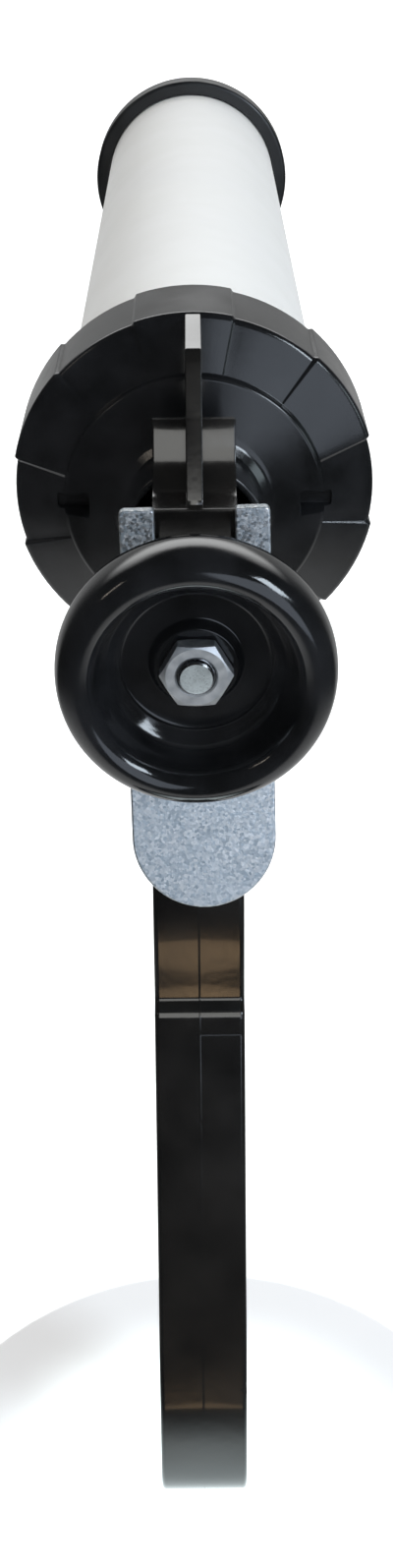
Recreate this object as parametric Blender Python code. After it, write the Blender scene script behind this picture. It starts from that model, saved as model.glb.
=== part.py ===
"""Bulk caulking gun: barrel, caps, push rod with piston, cast handle frame, trigger and release plate.

Metres, +Z up. The barrel lies along +Y with its mouth forward, and +X is to the right from behind.
The design is laid out from the point where the barrel's axis meets the rear cap's step circle;
the whole gun then hangs on one empty that brings the centre of its box to the origin.
"""
import math

import bmesh
import bpy
from mathutils import Matrix, Vector

MM = 0.001
GAP = 0.3 * MM

# Barrel and its two screw caps
TUBE_RADIUS = 27.0 * MM
TUBE_WALL = 1.5 * MM
TUBE_REAR = 4.3 * MM
TUBE_FRONT = 292.0 * MM
FRONT_CAP_RADIUS = 31.4 * MM
FRONT_CAP_REAR = 287.0 * MM
FRONT_CAP_FACE = 297.0 * MM
MOUTH_RADIUS = 20.0 * MM
CAP_RADIUS = 34.8 * MM
CAP_GRIP_STEP = 0.6 * MM
CAP_FACE_STEP = 0.6 * MM
CAP_FRONT = 24.0 * MM
STEP_CIRCLE = 24.6 * MM
LOBES = 6
LOBE_TURN = math.radians(-3.0)
LOBE_HALF = math.radians(15.0)
LOBE_RAMP = math.radians(2.0)
COLLAR_RADIUS = 13.0 * MM
COLLAR_BORE = 11.6 * MM
COLLAR_END = -17.0 * MM

# Neck of the frame, which carries the caps
NECK_RADIUS = 9.0 * MM
NECK_FRONT = 11.0 * MM
NECK_BORE = 6.3 * MM
NECK_STOP = 8.0 * MM
NUT_FLATS = 27.0 * MM

# Push rod, knob and piston
ROD_RADIUS = 4.0 * MM
ROD_HOLE = 4.35 * MM
THREAD_RADIUS = 3.0 * MM
KNOB_REAR = -77.7 * MM
KNOB_SEAT = -69.8 * MM
KNOB_NUT_HEIGHT = 3.2 * MM
KNOB_FRONT = -64.4 * MM
KNOB_RADIUS = 21.85 * MM
ROD_REAR = -74.0 * MM
M6_FLATS = 10.0 * MM
M6_HEIGHT = 5.0 * MM
PISTON_SHOULDER = 266.4 * MM
ROD_FRONT = 291.5 * MM
PISTON_RADIUS = 24.9 * MM

# Cast frame: head, fin and handle
BLOCK_HALF = 7.3 * MM
BLOCK_FRONT = -17.6 * MM
BLOCK_REAR = -35.0 * MM
BLOCK_TOP = 22.5 * MM
DECK_TOP = 12.0 * MM
SWEEP_RADIUS = 10.5 * MM
HEAD_HALF = 11.0 * MM
HEAD_TOP = 3.5 * MM
HEAD_BOTTOM = -18.0 * MM
FIN_HALF = 1.45 * MM
FIN_FRONT_TOP = 35.0 * MM
HANDLE_HALF = 8.35 * MM
HANDLE_BOTTOM = -178.3 * MM
HEEL = -79.9 * MM
SLOT_HALF = 5.6 * MM
SLOT_FRONT = -20.6 * MM

# Drive plates and trigger
PLATE_HALF = 7.0 * MM
PLATE_THICKNESS = 2.2 * MM
FRONT_PLATE = -26.0 * MM
PIVOT = Vector((0.0, -28.5 * MM, -24.7 * MM))
PIN_RADIUS = 2.4 * MM
TRIGGER_HALF = 5.2 * MM
FINGER_HALF = 7.0 * MM

# Release plate
RELEASE_PIVOT = Vector((0.0, -37.1 * MM, 9.0 * MM))
RELEASE_THICKNESS = 2.6 * MM
RELEASE_HALF = 12.7 * MM
RELEASE_TAB = 12.5 * MM
RELEASE_TOP = 13.1 * MM
RELEASE_BEND = -14.0 * MM
RELEASE_LEAN = math.radians(6.8)
RELEASE_LOWER_LEAN = math.radians(21.0)
RELEASE_LENGTH = 43.3 * MM
RELEASE_SKEW = math.radians(-1.2)
RELEASE_SPRING_LENGTH = 12.5 * MM

# Centre of the whole gun's box, which becomes the origin
CENTRE_Y = (FRONT_CAP_FACE + HEEL) / 2
CENTRE_Z = (FIN_FRONT_TOP + HANDLE_BOTTOM) / 2


def clear_scene():
    for old in list(bpy.data.objects):
        bpy.data.objects.remove(old, do_unlink=True)


def material(name, color, roughness, metallic):
    made = bpy.data.materials.new(name)
    made.use_nodes = True
    shader = made.node_tree.nodes["Principled BSDF"]
    shader.inputs["Base Color"].default_value = (*color, 1.0)
    shader.inputs["Roughness"].default_value = roughness
    shader.inputs["Metallic"].default_value = metallic
    return made


def add_object(name, bm, look, pivot=Vector((0, 0, 0)), smooth=True):
    """Make an object from world-placed mesh data, with its origin on the pivot."""
    bmesh.ops.remove_doubles(bm, verts=bm.verts, dist=1e-7)
    bmesh.ops.recalc_face_normals(bm, faces=bm.faces)
    bmesh.ops.translate(bm, verts=bm.verts, vec=-pivot)
    mesh = bpy.data.meshes.new(name)
    bm.to_mesh(mesh)
    bm.free()
    if look:
        mesh.materials.append(look)
    if smooth:
        mesh.shade_smooth()
        mesh.set_sharp_from_angle(angle=math.radians(35))
    made = bpy.data.objects.new(name, mesh)
    made.location = pivot
    made.parent = gun
    bpy.context.collection.objects.link(made)
    return made


def boolean(target, other, operation):
    """Cut or join with another object, which stays as a hidden guide."""
    other.hide_render = True
    other.display_type = "WIRE"
    step = target.modifiers.new(operation.lower(), "BOOLEAN")
    step.operation = operation
    step.solver = "EXACT"
    step.object = other
    return target


def cut(target, bm, label):
    guide = add_object(f"{target.name}_{label}", bm, None, smooth=False)
    return boolean(target, guide, "DIFFERENCE")


def join(target, bm, label):
    guide = add_object(f"{target.name}_{label}", bm, target.data.materials[0], smooth=False)
    return boolean(target, guide, "UNION")


def bridge_rings(bm, rings, closed):
    """Skin consecutive rings of vertices; closed also joins the last ring to the first."""
    count = len(rings[0])
    last = len(rings) if closed else len(rings) - 1
    for i in range(last):
        near = rings[i]
        far = rings[(i + 1) % len(rings)]
        for j in range(count):
            k = (j + 1) % count
            bm.faces.new((near[j], near[k], far[k], far[j]))


def turned(profile, segments=48, centre=Vector((0, 0, 0))):
    """Turn a profile of (radius, y) points about the line through centre along Y.

    Where the profile starts and ends on the axis, its ends close in a point.
    """
    bm = bmesh.new()
    rings = []
    for radius, y in profile:
        ring = []
        for i in range(segments):
            angle = math.tau * i / segments
            place = Vector((radius * math.sin(angle), y, radius * math.cos(angle)))
            ring.append(bm.verts.new(place + centre))
        rings.append(ring)
    solid = profile[0][0] < GAP
    bridge_rings(bm, rings, closed=not solid)
    bmesh.ops.remove_doubles(bm, verts=bm.verts, dist=1e-7)
    return bm


def ring_shape(inner, outer, rear, front, chamfer=0.0, segments=36):
    """A washer, tube or bush along Y, with its outer edges chamfered."""
    profile = [(inner, rear), (outer - chamfer, rear), (outer, rear + chamfer),
               (outer, front - chamfer), (outer - chamfer, front), (inner, front)]
    if not chamfer:
        profile = [(inner, rear), (outer, rear), (outer, front), (inner, front)]
    return turned(profile, segments)


def rod_shape(radius, rear, front, segments=24, centre=Vector((0, 0, 0))):
    return turned([(0.0, rear), (radius, rear), (radius, front), (0.0, front)], segments, centre)


def across(bm):
    """Swing a shape that is turned along Y so that it lies along X."""
    bmesh.ops.rotate(bm, verts=bm.verts, matrix=Matrix.Rotation(-math.pi / 2, 3, "Z"))
    return bm


def extruded(outline, half):
    """Extrude an outline of (y, z) points to both sides of the middle plane."""
    bm = bmesh.new()
    left = [bm.verts.new((-half, y, z)) for y, z in outline]
    right = [bm.verts.new((half, y, z)) for y, z in outline]
    bridge_rings(bm, [left, right], closed=False)
    bm.faces.new(left)
    bm.faces.new(right)
    return bm


def box_shape(low, high):
    corners = [(low[1], low[2]), (high[1], low[2]), (high[1], high[2]), (low[1], high[2])]
    bm = extruded(corners, 1.0)
    for vert in bm.verts:
        vert.co.x = low[0] if vert.co.x < 0 else high[0]
    return bm


def arc(centre, radius, start, end, steps):
    """Points (y, z) on an arc; angles in degrees from +Y towards +Z."""
    points = []
    for i in range(steps + 1):
        angle = math.radians(start + (end - start) * i / steps)
        points.append((centre[0] + radius * math.cos(angle), centre[1] + radius * math.sin(angle)))
    return points


def smooth_path(points, steps=4):
    """A curve through hand-placed points, by Catmull and Rom's rule."""
    ends = [points[0]] + list(points) + [points[-1]]
    curve = []
    for i in range(1, len(ends) - 2):
        before, start, end, after = (Vector(p) for p in ends[i - 1:i + 3])
        for j in range(steps):
            t = j / steps
            curve.append(0.5 * (2 * start + (end - before) * t
                                + (2 * before - 5 * start + 4 * end - after) * t ** 2
                                + (3 * start - before - 3 * end + after) * t ** 3))
    curve.append(Vector(points[-1]))
    return curve


def ribbon(points, steps=4):
    """Outline of a bar that follows (y, z, half thickness) points."""
    curve = smooth_path(points, steps)
    upper = []
    lower = []
    for i, place in enumerate(curve):
        ahead = curve[min(i + 1, len(curve) - 1)]
        behind = curve[max(i - 1, 0)]
        run = Vector((ahead.x - behind.x, ahead.y - behind.y)).normalized()
        upper.append((place.x - run.y * place.z, place.y + run.x * place.z))
        lower.append((place.x + run.y * place.z, place.y - run.x * place.z))
    return upper + lower[::-1]


def hexagon(flats, inner, rear, front, chamfer, segments=24):
    """A hexagon nut along Y with corners to the left and right, turned down at both ends."""
    bm = bmesh.new()
    corner = flats / math.sqrt(3)
    sixth = math.pi / 3
    rings = []
    stations = [(rear, True), (rear + chamfer, False), (front - chamfer, False), (front, True)]
    for y, eased in stations:
        ring = []
        for i in range(segments):
            angle = math.tau * i / segments
            from_corner = angle % sixth - sixth / 2
            radius = corner * math.cos(sixth / 2) / math.cos(sixth / 2 - abs(from_corner))
            if eased:
                radius = min(radius, flats / 2 * 0.99)
            ring.append(bm.verts.new((radius * math.sin(angle), y, radius * math.cos(angle))))
        rings.append(ring)
    for y in (front, rear):
        rings.append([bm.verts.new((inner * math.sin(math.tau * i / segments), y,
                                    inner * math.cos(math.tau * i / segments)))
                      for i in range(segments)])
    bridge_rings(bm, rings, closed=True)
    return bm


def coil(start, end, radius, wire, turns, per_turn=10, sides=5):
    """A compression spring from start to end, with its first and last turns closed up."""
    bm = bmesh.new()
    axis = (end - start).normalized()
    side = Vector((1, 0, 0))
    up = axis.cross(side)
    length = (end - start).length
    stations = []
    total = turns * per_turn
    for i in range(total + 1):
        turn = i / per_turn
        open_turn = min(max(turn - 1, 0), turns - 2) / (turns - 2)
        closed = min(turn, 1) + max(turn - (turns - 1), 0)
        rise = wire * (1 + closed * 1.05) + open_turn * (length - 2 * wire - 2.1 * wire)
        angle = math.tau * turn
        stations.append(start + axis * rise
                        + radius * (math.cos(angle) * side + math.sin(angle) * up))
    rings = []
    for i, place in enumerate(stations):
        ahead = stations[min(i + 1, total)]
        behind = stations[max(i - 1, 0)]
        run = (ahead - behind).normalized()
        across_run = run.cross(axis).normalized()
        over = run.cross(across_run)
        rings.append([bm.verts.new(place + wire * (math.cos(math.tau * j / sides) * across_run
                                                   + math.sin(math.tau * j / sides) * over))
                      for j in range(sides)])
    bridge_rings(bm, rings, closed=False)
    bm.faces.new(rings[0])
    bm.faces.new(rings[-1])
    return bm


def lobe_share():
    """Angles round the cap, each with its share of the grip step: 0 on a lobe, 1 in a recess."""
    period = math.tau / LOBES
    recess_half = period / 2 - LOBE_HALF - LOBE_RAMP
    shares = []
    for k in range(LOBES):
        middle = LOBE_TURN + k * period
        for i in range(5):
            shares.append((middle - LOBE_HALF + 2 * LOBE_HALF * i / 4, 0.0))
        for i in range(4):
            shares.append((middle + period / 2 - recess_half + 2 * recess_half * i / 3, 1.0))
    return shares


def make_rear_cap():
    """Moulded screw cap with six grip lobes, a coned rear face and a hub collar."""
    gripped = [
        (CAP_RADIUS - 0.6 * MM, CAP_FRONT, 0.0),
        (CAP_RADIUS, CAP_FRONT - 0.7 * MM, 0.0),
        (CAP_RADIUS, 5.2 * MM, 1.0),
        (CAP_RADIUS - 0.5 * MM, 4.2 * MM, 1.0),
        (CAP_RADIUS - 1.3 * MM, 3.7 * MM, 1.0),
        (STEP_CIRCLE + 0.4 * MM, 0.1 * MM, 1.0),
    ]
    plain = [
        (STEP_CIRCLE, 0.0),
        (STEP_CIRCLE - 0.2 * MM, -1.4 * MM),
        (STEP_CIRCLE - 0.6 * MM, -1.7 * MM),
        (14.5 * MM, -3.5 * MM),
        (13.4 * MM, -4.1 * MM),
        (COLLAR_RADIUS, -5.0 * MM),
        (COLLAR_RADIUS, COLLAR_END + 0.4 * MM),
        (COLLAR_RADIUS - 0.3 * MM, COLLAR_END),
        (COLLAR_BORE + 0.3 * MM, COLLAR_END),
        (COLLAR_BORE, COLLAR_END + 0.4 * MM),
        (COLLAR_BORE, -1.5 * MM),
        (NECK_RADIUS + GAP, -1.5 * MM),
        (NECK_RADIUS + GAP, TUBE_REAR - GAP),
        (TUBE_RADIUS + GAP, TUBE_REAR - GAP),
        (TUBE_RADIUS + GAP, CAP_FRONT),
    ]
    bm = bmesh.new()
    rings = []
    for radius, y, face in gripped:
        ring = []
        for angle, share in lobe_share():
            step = CAP_GRIP_STEP if radius > STEP_CIRCLE + MM else 0.0
            place = radius - share * step
            ring.append(bm.verts.new((place * math.sin(angle), y + share * face * CAP_FACE_STEP,
                                      place * math.cos(angle))))
        rings.append(ring)
    for radius, y in plain:
        rings.append([bm.verts.new((radius * math.sin(angle), y, radius * math.cos(angle)))
                      for angle, share in lobe_share()])
    bridge_rings(bm, rings, closed=True)
    cap = add_object("rear_cap", bm, black_moulding)
    for sign, side in ((-1, "left"), (1, "right")):
        near = 19.6 * MM
        far = STEP_CIRCLE + 1.2 * MM
        low = (min(sign * near, sign * far), -6 * MM, -1.9 * MM)
        high = (max(sign * near, sign * far), 1.2 * MM, 1.9 * MM)
        cut(cap, box_shape(low, high), f"{side}_spanner_slot")
    return cap


def make_front_cap():
    """Thin moulded ring that screws over the barrel's mouth, with an inward lip."""
    bore = TUBE_RADIUS + GAP
    lip = TUBE_FRONT + GAP
    profile = [(bore, FRONT_CAP_REAR), (FRONT_CAP_RADIUS - MM, FRONT_CAP_REAR),
               (FRONT_CAP_RADIUS, FRONT_CAP_REAR + MM), (FRONT_CAP_RADIUS, FRONT_CAP_FACE - 1.5 * MM),
               (FRONT_CAP_RADIUS - 1.5 * MM, FRONT_CAP_FACE), (MOUTH_RADIUS + MM, FRONT_CAP_FACE),
               (MOUTH_RADIUS, FRONT_CAP_FACE - MM), (MOUTH_RADIUS, lip), (bore, lip)]
    return add_object("front_cap", turned(profile, 48), black_moulding)


def make_barrel():
    inner = TUBE_RADIUS - TUBE_WALL
    return add_object("barrel_tube", ring_shape(inner, TUBE_RADIUS, TUBE_REAR, TUBE_FRONT, segments=48),
                      white_enamel)


def make_neck_fixing():
    """Washer and thin nut that hold the rear cap on the frame's neck."""
    washer_rear = TUBE_REAR
    washer_front = washer_rear + 0.8 * MM
    nut_rear = washer_front + GAP
    bore = NECK_RADIUS + GAP
    add_object("neck_washer", ring_shape(bore, 15.0 * MM, washer_rear, washer_front), zinc_plate)
    add_object("neck_nut", hexagon(NUT_FLATS, bore, nut_rear, nut_rear + 3.8 * MM, 0.7 * MM), zinc_plate)


def make_rod():
    """Drawn steel rod, turned down and threaded at both ends."""
    profile = [(0.0, ROD_REAR), (THREAD_RADIUS - 0.4 * MM, ROD_REAR), (THREAD_RADIUS, ROD_REAR + 0.4 * MM),
               (THREAD_RADIUS, KNOB_FRONT + GAP), (ROD_RADIUS, KNOB_FRONT + GAP),
               (ROD_RADIUS, PISTON_SHOULDER), (THREAD_RADIUS, PISTON_SHOULDER),
               (THREAD_RADIUS, ROD_FRONT - 0.4 * MM), (THREAD_RADIUS - 0.4 * MM, ROD_FRONT), (0.0, ROD_FRONT)]
    add_object("push_rod", turned(profile, 24), bright_steel)


def make_knob():
    """Round pull knob with a rolled rim and a dish that sinks the nut."""
    bore = THREAD_RADIUS + GAP
    profile = [(bore, KNOB_FRONT), (16.8 * MM, KNOB_FRONT), (19.3 * MM, -65.1 * MM), (21.0 * MM, -66.9 * MM),
               (21.7 * MM, -69.3 * MM), (KNOB_RADIUS, -71.2 * MM), (21.6 * MM, -73.6 * MM),
               (20.8 * MM, -75.8 * MM), (19.6 * MM, -77.2 * MM), (18.2 * MM, KNOB_REAR),
               (16.9 * MM, -77.2 * MM), (15.9 * MM, -75.8 * MM), (15.2 * MM, -73.6 * MM),
               (14.6 * MM, -71.2 * MM), (13.8 * MM, -69.3 * MM), (12.0 * MM, -67.9 * MM), (10.6 * MM, -67.8 * MM),
               (8.6 * MM, -69.3 * MM), (7.6 * MM, KNOB_SEAT), (bore, KNOB_SEAT)]
    add_object("pull_knob", turned(profile, 36), black_moulding)
    nut_front = KNOB_SEAT - GAP
    nut = hexagon(M6_FLATS, bore, nut_front - KNOB_NUT_HEIGHT, nut_front, 0.6 * MM)
    add_object("knob_nut", nut, zinc_plate)


def make_piston():
    """Rear washer, rear disc, rubber cup, front disc and nut, clamped on the rod's threaded end."""
    bore = THREAD_RADIUS + GAP
    y = PISTON_SHOULDER + GAP
    add_object("piston_washer", ring_shape(bore, 9.0 * MM, y, y + 1.5 * MM), zinc_plate)
    y += 1.5 * MM + GAP
    add_object("piston_rear_disc", ring_shape(bore, 22.5 * MM, y, y + 3.0 * MM, 0.8 * MM), black_moulding)
    y += 3.0 * MM + GAP
    wall = 2.2 * MM
    depth = 8.0 * MM
    cup = [(bore, y), (23.6 * MM, y), (25.1 * MM, y + 2.0 * MM), (25.25 * MM, y + depth),
           (25.25 * MM - wall, y + depth), (22.6 * MM, y + 3.2 * MM), (bore, y + 3.2 * MM)]
    add_object("piston_seal", turned(cup, 36), black_rubber)
    y += 3.2 * MM + GAP
    disc = [(bore, y), (22.0 * MM, y), (22.2 * MM, y + 3.5 * MM), (21.2 * MM, y + 5.5 * MM),
            (8.6 * MM, y + 6.5 * MM), (bore, y + 6.5 * MM)]
    add_object("piston_front_disc", turned(disc, 36), black_moulding)
    y += 6.5 * MM + GAP
    add_object("piston_nut", hexagon(M6_FLATS, bore, y, y + M6_HEIGHT, 0.8 * MM), zinc_plate)


def fin_outline():
    """The thin gusset that rises over the rear cap; its front edge keeps clear of the cap's cone."""
    cone = 0.407
    clear = 0.95 * MM
    front_top = (cone * (FIN_FRONT_TOP - 24.5 * MM) - clear, FIN_FRONT_TOP)
    front_low = (cone * (25.8 * MM - 24.5 * MM) - clear, 25.8 * MM)
    return [front_top, (-13.2 * MM, 33.3 * MM), (-14.4 * MM, 32.9 * MM), (-15.3 * MM, 32.0 * MM),
            (-22.5 * MM, 23.6 * MM), (-32.6 * MM, 12.4 * MM), (-33.5 * MM, 10.0 * MM), (-19.0 * MM, 10.0 * MM),
            (-18.2 * MM, 14.6 * MM), (-6.2 * MM, 14.6 * MM), (-4.8 * MM, 16.0 * MM), (-3.0 * MM, 25.2 * MM),
            front_low]


def block_outline():
    """Front wall of the head, swept down in an arc to the deck over the drive plates."""
    sweep = arc((BLOCK_FRONT - 1.6 * MM - SWEEP_RADIUS, DECK_TOP + SWEEP_RADIUS), SWEEP_RADIUS, 0, -90, 8)
    return [(BLOCK_FRONT, HEAD_TOP - MM), (BLOCK_FRONT, BLOCK_TOP - 0.5 * MM),
            (BLOCK_FRONT - 0.5 * MM, BLOCK_TOP)] + sweep + [
            (BLOCK_REAR + 0.4 * MM, DECK_TOP), (BLOCK_REAR, DECK_TOP - 0.4 * MM), (BLOCK_REAR, HEAD_TOP - MM)]


def handle_outline():
    """Side view of the handle: back edge with its ledge, rounded toe, and front edge."""
    back = [(-35.0, -12.0), (-36.3, -24.0), (-38.6, -36.0), (-42.0, -48.0), (-45.8, -58.0),
            (-47.2, -67.0), (-48.6, -78.2), (-49.1, -79.6), (-50.6, -80.4), (-52.0, -81.8), (-52.8, -84.2)]
    toe = [(-74.4, -148.5), (-77.0, -157.0), (-78.9, -165.0), (HEEL / MM, -171.5), (-79.4, -175.6),
           (-77.2, -178.0), (-73.6, HANDLE_BOTTOM / MM), (-64.0, -176.6), (-60.6, -174.6), (-58.8, -170.8)]
    front = [(-34.9, -86.0), (-33.6, -80.0), (-31.0, -62.0), (-24.5, -42.0), (-21.5, -28.0), (-21.0, -12.0)]
    return [(y * MM, z * MM) for y, z in back + toe + front]


def make_frame():
    """One casting: neck, head, fin, tongue for the release plate, and handle."""
    frame = add_object("handle_frame", extruded(handle_outline(), HANDLE_HALF), black_enamel)
    join(frame, box_shape((-HEAD_HALF, BLOCK_REAR, HEAD_BOTTOM), (HEAD_HALF, BLOCK_FRONT, HEAD_TOP)), "head")
    join(frame, extruded(block_outline(), BLOCK_HALF), "block")
    join(frame, rod_shape(NECK_RADIUS, BLOCK_FRONT - 1.5 * MM, NECK_FRONT, 40), "neck")
    join(frame, extruded(fin_outline(), FIN_HALF), "fin")
    tongue = box_shape((-6.3 * MM, -41.0 * MM, 6.4 * MM), (6.3 * MM, BLOCK_REAR + MM, 8.0 * MM))
    join(frame, tongue, "tongue")
    cut(frame, rod_shape(ROD_HOLE, -60 * MM, 40 * MM, 28), "rod_way")
    cut(frame, rod_shape(NECK_BORE, SLOT_FRONT - MM, NECK_STOP, 32), "spring_bore")
    plate_room = box_shape((-7.4 * MM, -31.0 * MM, -17.6 * MM), (7.4 * MM, SLOT_FRONT, HEAD_TOP - 0.5 * MM))
    cut(frame, plate_room, "plate_room")
    upper_room = box_shape((-5.0 * MM, -31.0 * MM, 0.0), (5.0 * MM, SLOT_FRONT, 8.8 * MM))
    cut(frame, upper_room, "upper_plate_room")
    channel = [(-34.2, -9.0), (-20.6, -9.0), (-20.6, -17.4), (-5.0, -17.4), (-5.0, -78.0), (-38.5, -70.0),
               (-38.0, -52.0), (-34.4, -38.0)]
    cut(frame, extruded([(y * MM, z * MM) for y, z in channel], SLOT_HALF), "trigger_channel")
    pin_way = across(rod_shape(PIN_RADIUS + GAP, -20 * MM, 20 * MM, 20))
    bmesh.ops.translate(pin_way, verts=pin_way.verts, vec=PIVOT)
    cut(frame, pin_way, "pin_way")
    cut(frame, spring_pocket(), "release_spring_pocket")
    return frame


def plate_line(distance):
    """Point (y, z) on the release plate's middle line, measured down from its bend."""
    top_rise = RELEASE_PIVOT.z - RELEASE_BEND
    bend_y = RELEASE_PIVOT.y - top_rise * math.tan(RELEASE_LEAN)
    lean = RELEASE_LOWER_LEAN if distance > 0 else RELEASE_LEAN
    return bend_y - distance * math.sin(lean), RELEASE_BEND - distance * math.cos(lean)


def release_spring_line():
    """Where the release spring starts on the plate's lower leg, and its direction into the handle."""
    y, z = plate_line(18.0 * MM)
    push = Vector((0, math.cos(RELEASE_LOWER_LEAN), -math.sin(RELEASE_LOWER_LEAN)))
    return Vector((0, y, z)) + push * (RELEASE_THICKNESS / 2 + 0.2 * MM), push


def spring_pocket():
    plate_end, push = release_spring_line()
    bm = rod_shape(3.4 * MM, 0.0, RELEASE_SPRING_LENGTH, 24)
    turn = Vector((0, 1, 0)).rotation_difference(push).to_matrix()
    bmesh.ops.rotate(bm, verts=bm.verts, matrix=turn)
    bmesh.ops.translate(bm, verts=bm.verts, vec=plate_end + push * 0.3 * MM)
    return bm


def make_release_plate():
    """Bent steel plate that grips the rod, with a notch over the frame's tongue and a thumb tab."""
    top = (RELEASE_TOP - RELEASE_BEND) / math.cos(RELEASE_LEAN)
    notch = (RELEASE_TOP - 6.0 * MM) / math.cos(RELEASE_LEAN)
    corner = 0.8 * MM
    outline = [(-RELEASE_HALF, 0.0), (-RELEASE_HALF, -top + corner), (-RELEASE_HALF + corner, -top),
               (-6.8 * MM, -top), (-6.8 * MM, -top + notch), (6.8 * MM, -top + notch), (6.8 * MM, -top),
               (RELEASE_HALF - corner, -top), (RELEASE_HALF, -top + corner), (RELEASE_HALF, 0.0)]
    middle = RELEASE_LENGTH - RELEASE_TAB
    for i in range(13):
        angle = math.pi * i / 12
        outline.append((RELEASE_TAB * math.cos(angle), middle + RELEASE_TAB * math.sin(angle)))
    bm = bmesh.new()
    half = RELEASE_THICKNESS / 2
    bend_shift = half * math.tan((RELEASE_LOWER_LEAN - RELEASE_LEAN) / 2)
    sheets = []
    for side in (-1, 1):
        sheet = []
        for x, distance in outline:
            lean = RELEASE_LOWER_LEAN if distance > 0 else RELEASE_LEAN
            y, z = plate_line(distance)
            normal = Vector((0, math.cos(lean), -math.sin(lean)))
            slide = Vector((0, -math.sin(lean), -math.cos(lean))) * (bend_shift if distance == 0 else 0.0)
            sheet.append(bm.verts.new(Vector((x, y, z)) + side * (normal * half + slide)))
        sheets.append(sheet)
    bridge_rings(bm, sheets, closed=False)
    wing = len(outline) - 13
    for sheet in sheets:
        bm.faces.new(sheet[:wing])
        bm.faces.new([sheet[wing - 1]] + sheet[wing:] + [sheet[0]])
    skew = Matrix.Rotation(RELEASE_SKEW, 3, "Y")
    bmesh.ops.rotate(bm, verts=bm.verts, matrix=skew, cent=RELEASE_PIVOT)
    plate = add_object("release_plate", bm, zinc_plate, RELEASE_PIVOT)
    return cut(plate, rod_shape(4.55 * MM, -50 * MM, -30 * MM, 28), "rod_hole")


def make_drive_plates():
    """Two hardened plates that grip the rod when the trigger pushes them forward."""
    foot = -17.0 * MM
    shoulder = 2.4 * MM
    neck = 4.6 * MM
    head = 8.2 * MM
    outline = [(-PLATE_HALF, foot), (-PLATE_HALF, shoulder), (-neck, shoulder), (-neck, head), (neck, head),
               (neck, shoulder), (PLATE_HALF, shoulder), (PLATE_HALF, foot)]
    front = FRONT_PLATE
    for name in ("drive_plate_front", "drive_plate_rear"):
        bm = bmesh.new()
        rings = [[bm.verts.new((x, y, z)) for x, z in outline] for y in (front - PLATE_THICKNESS, front)]
        bridge_rings(bm, rings, closed=False)
        bm.faces.new(rings[0])
        bm.faces.new(rings[1])
        plate = add_object(name, bm, bright_steel, smooth=False)
        cut(plate, rod_shape(ROD_HOLE, -40 * MM, -10 * MM, 28), "rod_hole")
        front -= PLATE_THICKNESS + GAP


def make_trigger():
    """Lever with a hub between the frame's cheeks, a nose behind the plates and a finger bow.

    The bow is wider than the frame's channel, so it starts low enough to clear the frame at full pull.
    """
    finger = [(-12.2, -47.4, 3.4), (-7.2, -58.0, 3.9), (-1.6, -72.0, 3.9), (2.8, -88.0, 3.8), (6.4, -102.0, 3.6),
              (10.4, -113.0, 3.2), (14.6, -119.0, 2.0)]
    blade = [(-33.6, -26.0), (-33.4, -18.0), (-33.2, -14.6), (-32.6, -13.2), (-31.8, -13.0), (-31.2, -13.6),
             (-31.1, -17.4), (-29.4, -18.6), (-26.0, -19.8), (-23.2, -23.0), (-19.0, -34.0), (-9.4, -46.8),
             (-16.0, -56.4), (-22.0, -46.0), (-29.0, -31.0)]
    lever = add_object("trigger", extruded([(y * MM, z * MM) for y, z in blade], TRIGGER_HALF), black_enamel,
                       PIVOT)
    bow = [(y * MM, z * MM, half * MM) for y, z, half in finger]
    join(lever, extruded(ribbon(bow), FINGER_HALF), "finger_bow")
    hub = across(rod_shape(5.6 * MM, -TRIGGER_HALF, TRIGGER_HALF, 28))
    bmesh.ops.translate(hub, verts=hub.verts, vec=PIVOT)
    join(lever, hub, "hub")
    way = across(rod_shape(PIN_RADIUS + GAP, -20 * MM, 20 * MM, 20))
    bmesh.ops.translate(way, verts=way.verts, vec=PIVOT)
    return cut(lever, way, "pin_way")


def make_trigger_pin():
    """Headed pin, held on the other side by a spring clip."""
    head = HANDLE_HALF + GAP
    profile = [(0.0, -10.3 * MM), (PIN_RADIUS - 0.4 * MM, -10.3 * MM), (PIN_RADIUS, -9.9 * MM),
               (PIN_RADIUS, head), (4.0 * MM, head), (4.0 * MM, head + 0.9 * MM), (3.4 * MM, head + 1.5 * MM),
               (0.0, head + 1.5 * MM)]
    pin = across(turned(profile, 24))
    bmesh.ops.translate(pin, verts=pin.verts, vec=PIVOT)
    add_object("trigger_pin", pin, zinc_plate)
    clip = across(ring_shape(PIN_RADIUS + GAP, 4.6 * MM, -head - 0.9 * MM, -head, segments=24))
    bmesh.ops.translate(clip, verts=clip.verts, vec=PIVOT)
    ring = add_object("trigger_pin_clip", clip, bright_steel)
    mouth = box_shape((-12 * MM, PIVOT.y - 1.6 * MM, PIVOT.z - 8 * MM), (-6 * MM, PIVOT.y + 1.6 * MM, PIVOT.z))
    cut(ring, mouth, "mouth")


def make_springs():
    """Drive spring round the rod inside the neck, and release spring behind the handle."""
    front_end = Vector((0, NECK_STOP - GAP, 0))
    rear_end = Vector((0, FRONT_PLATE + GAP, 0))
    add_object("drive_spring", coil(rear_end, front_end, 5.3 * MM, 0.6 * MM, 9), bright_steel)
    plate_end, push = release_spring_line()
    seat = plate_end + push * RELEASE_SPRING_LENGTH
    add_object("release_spring", coil(plate_end, seat, 2.5 * MM, 0.4 * MM, 7), bright_steel)


clear_scene()
gun = bpy.data.objects.new("gun", None)
gun.location = (0.0, -CENTRE_Y, -CENTRE_Z)
bpy.context.collection.objects.link(gun)

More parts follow.
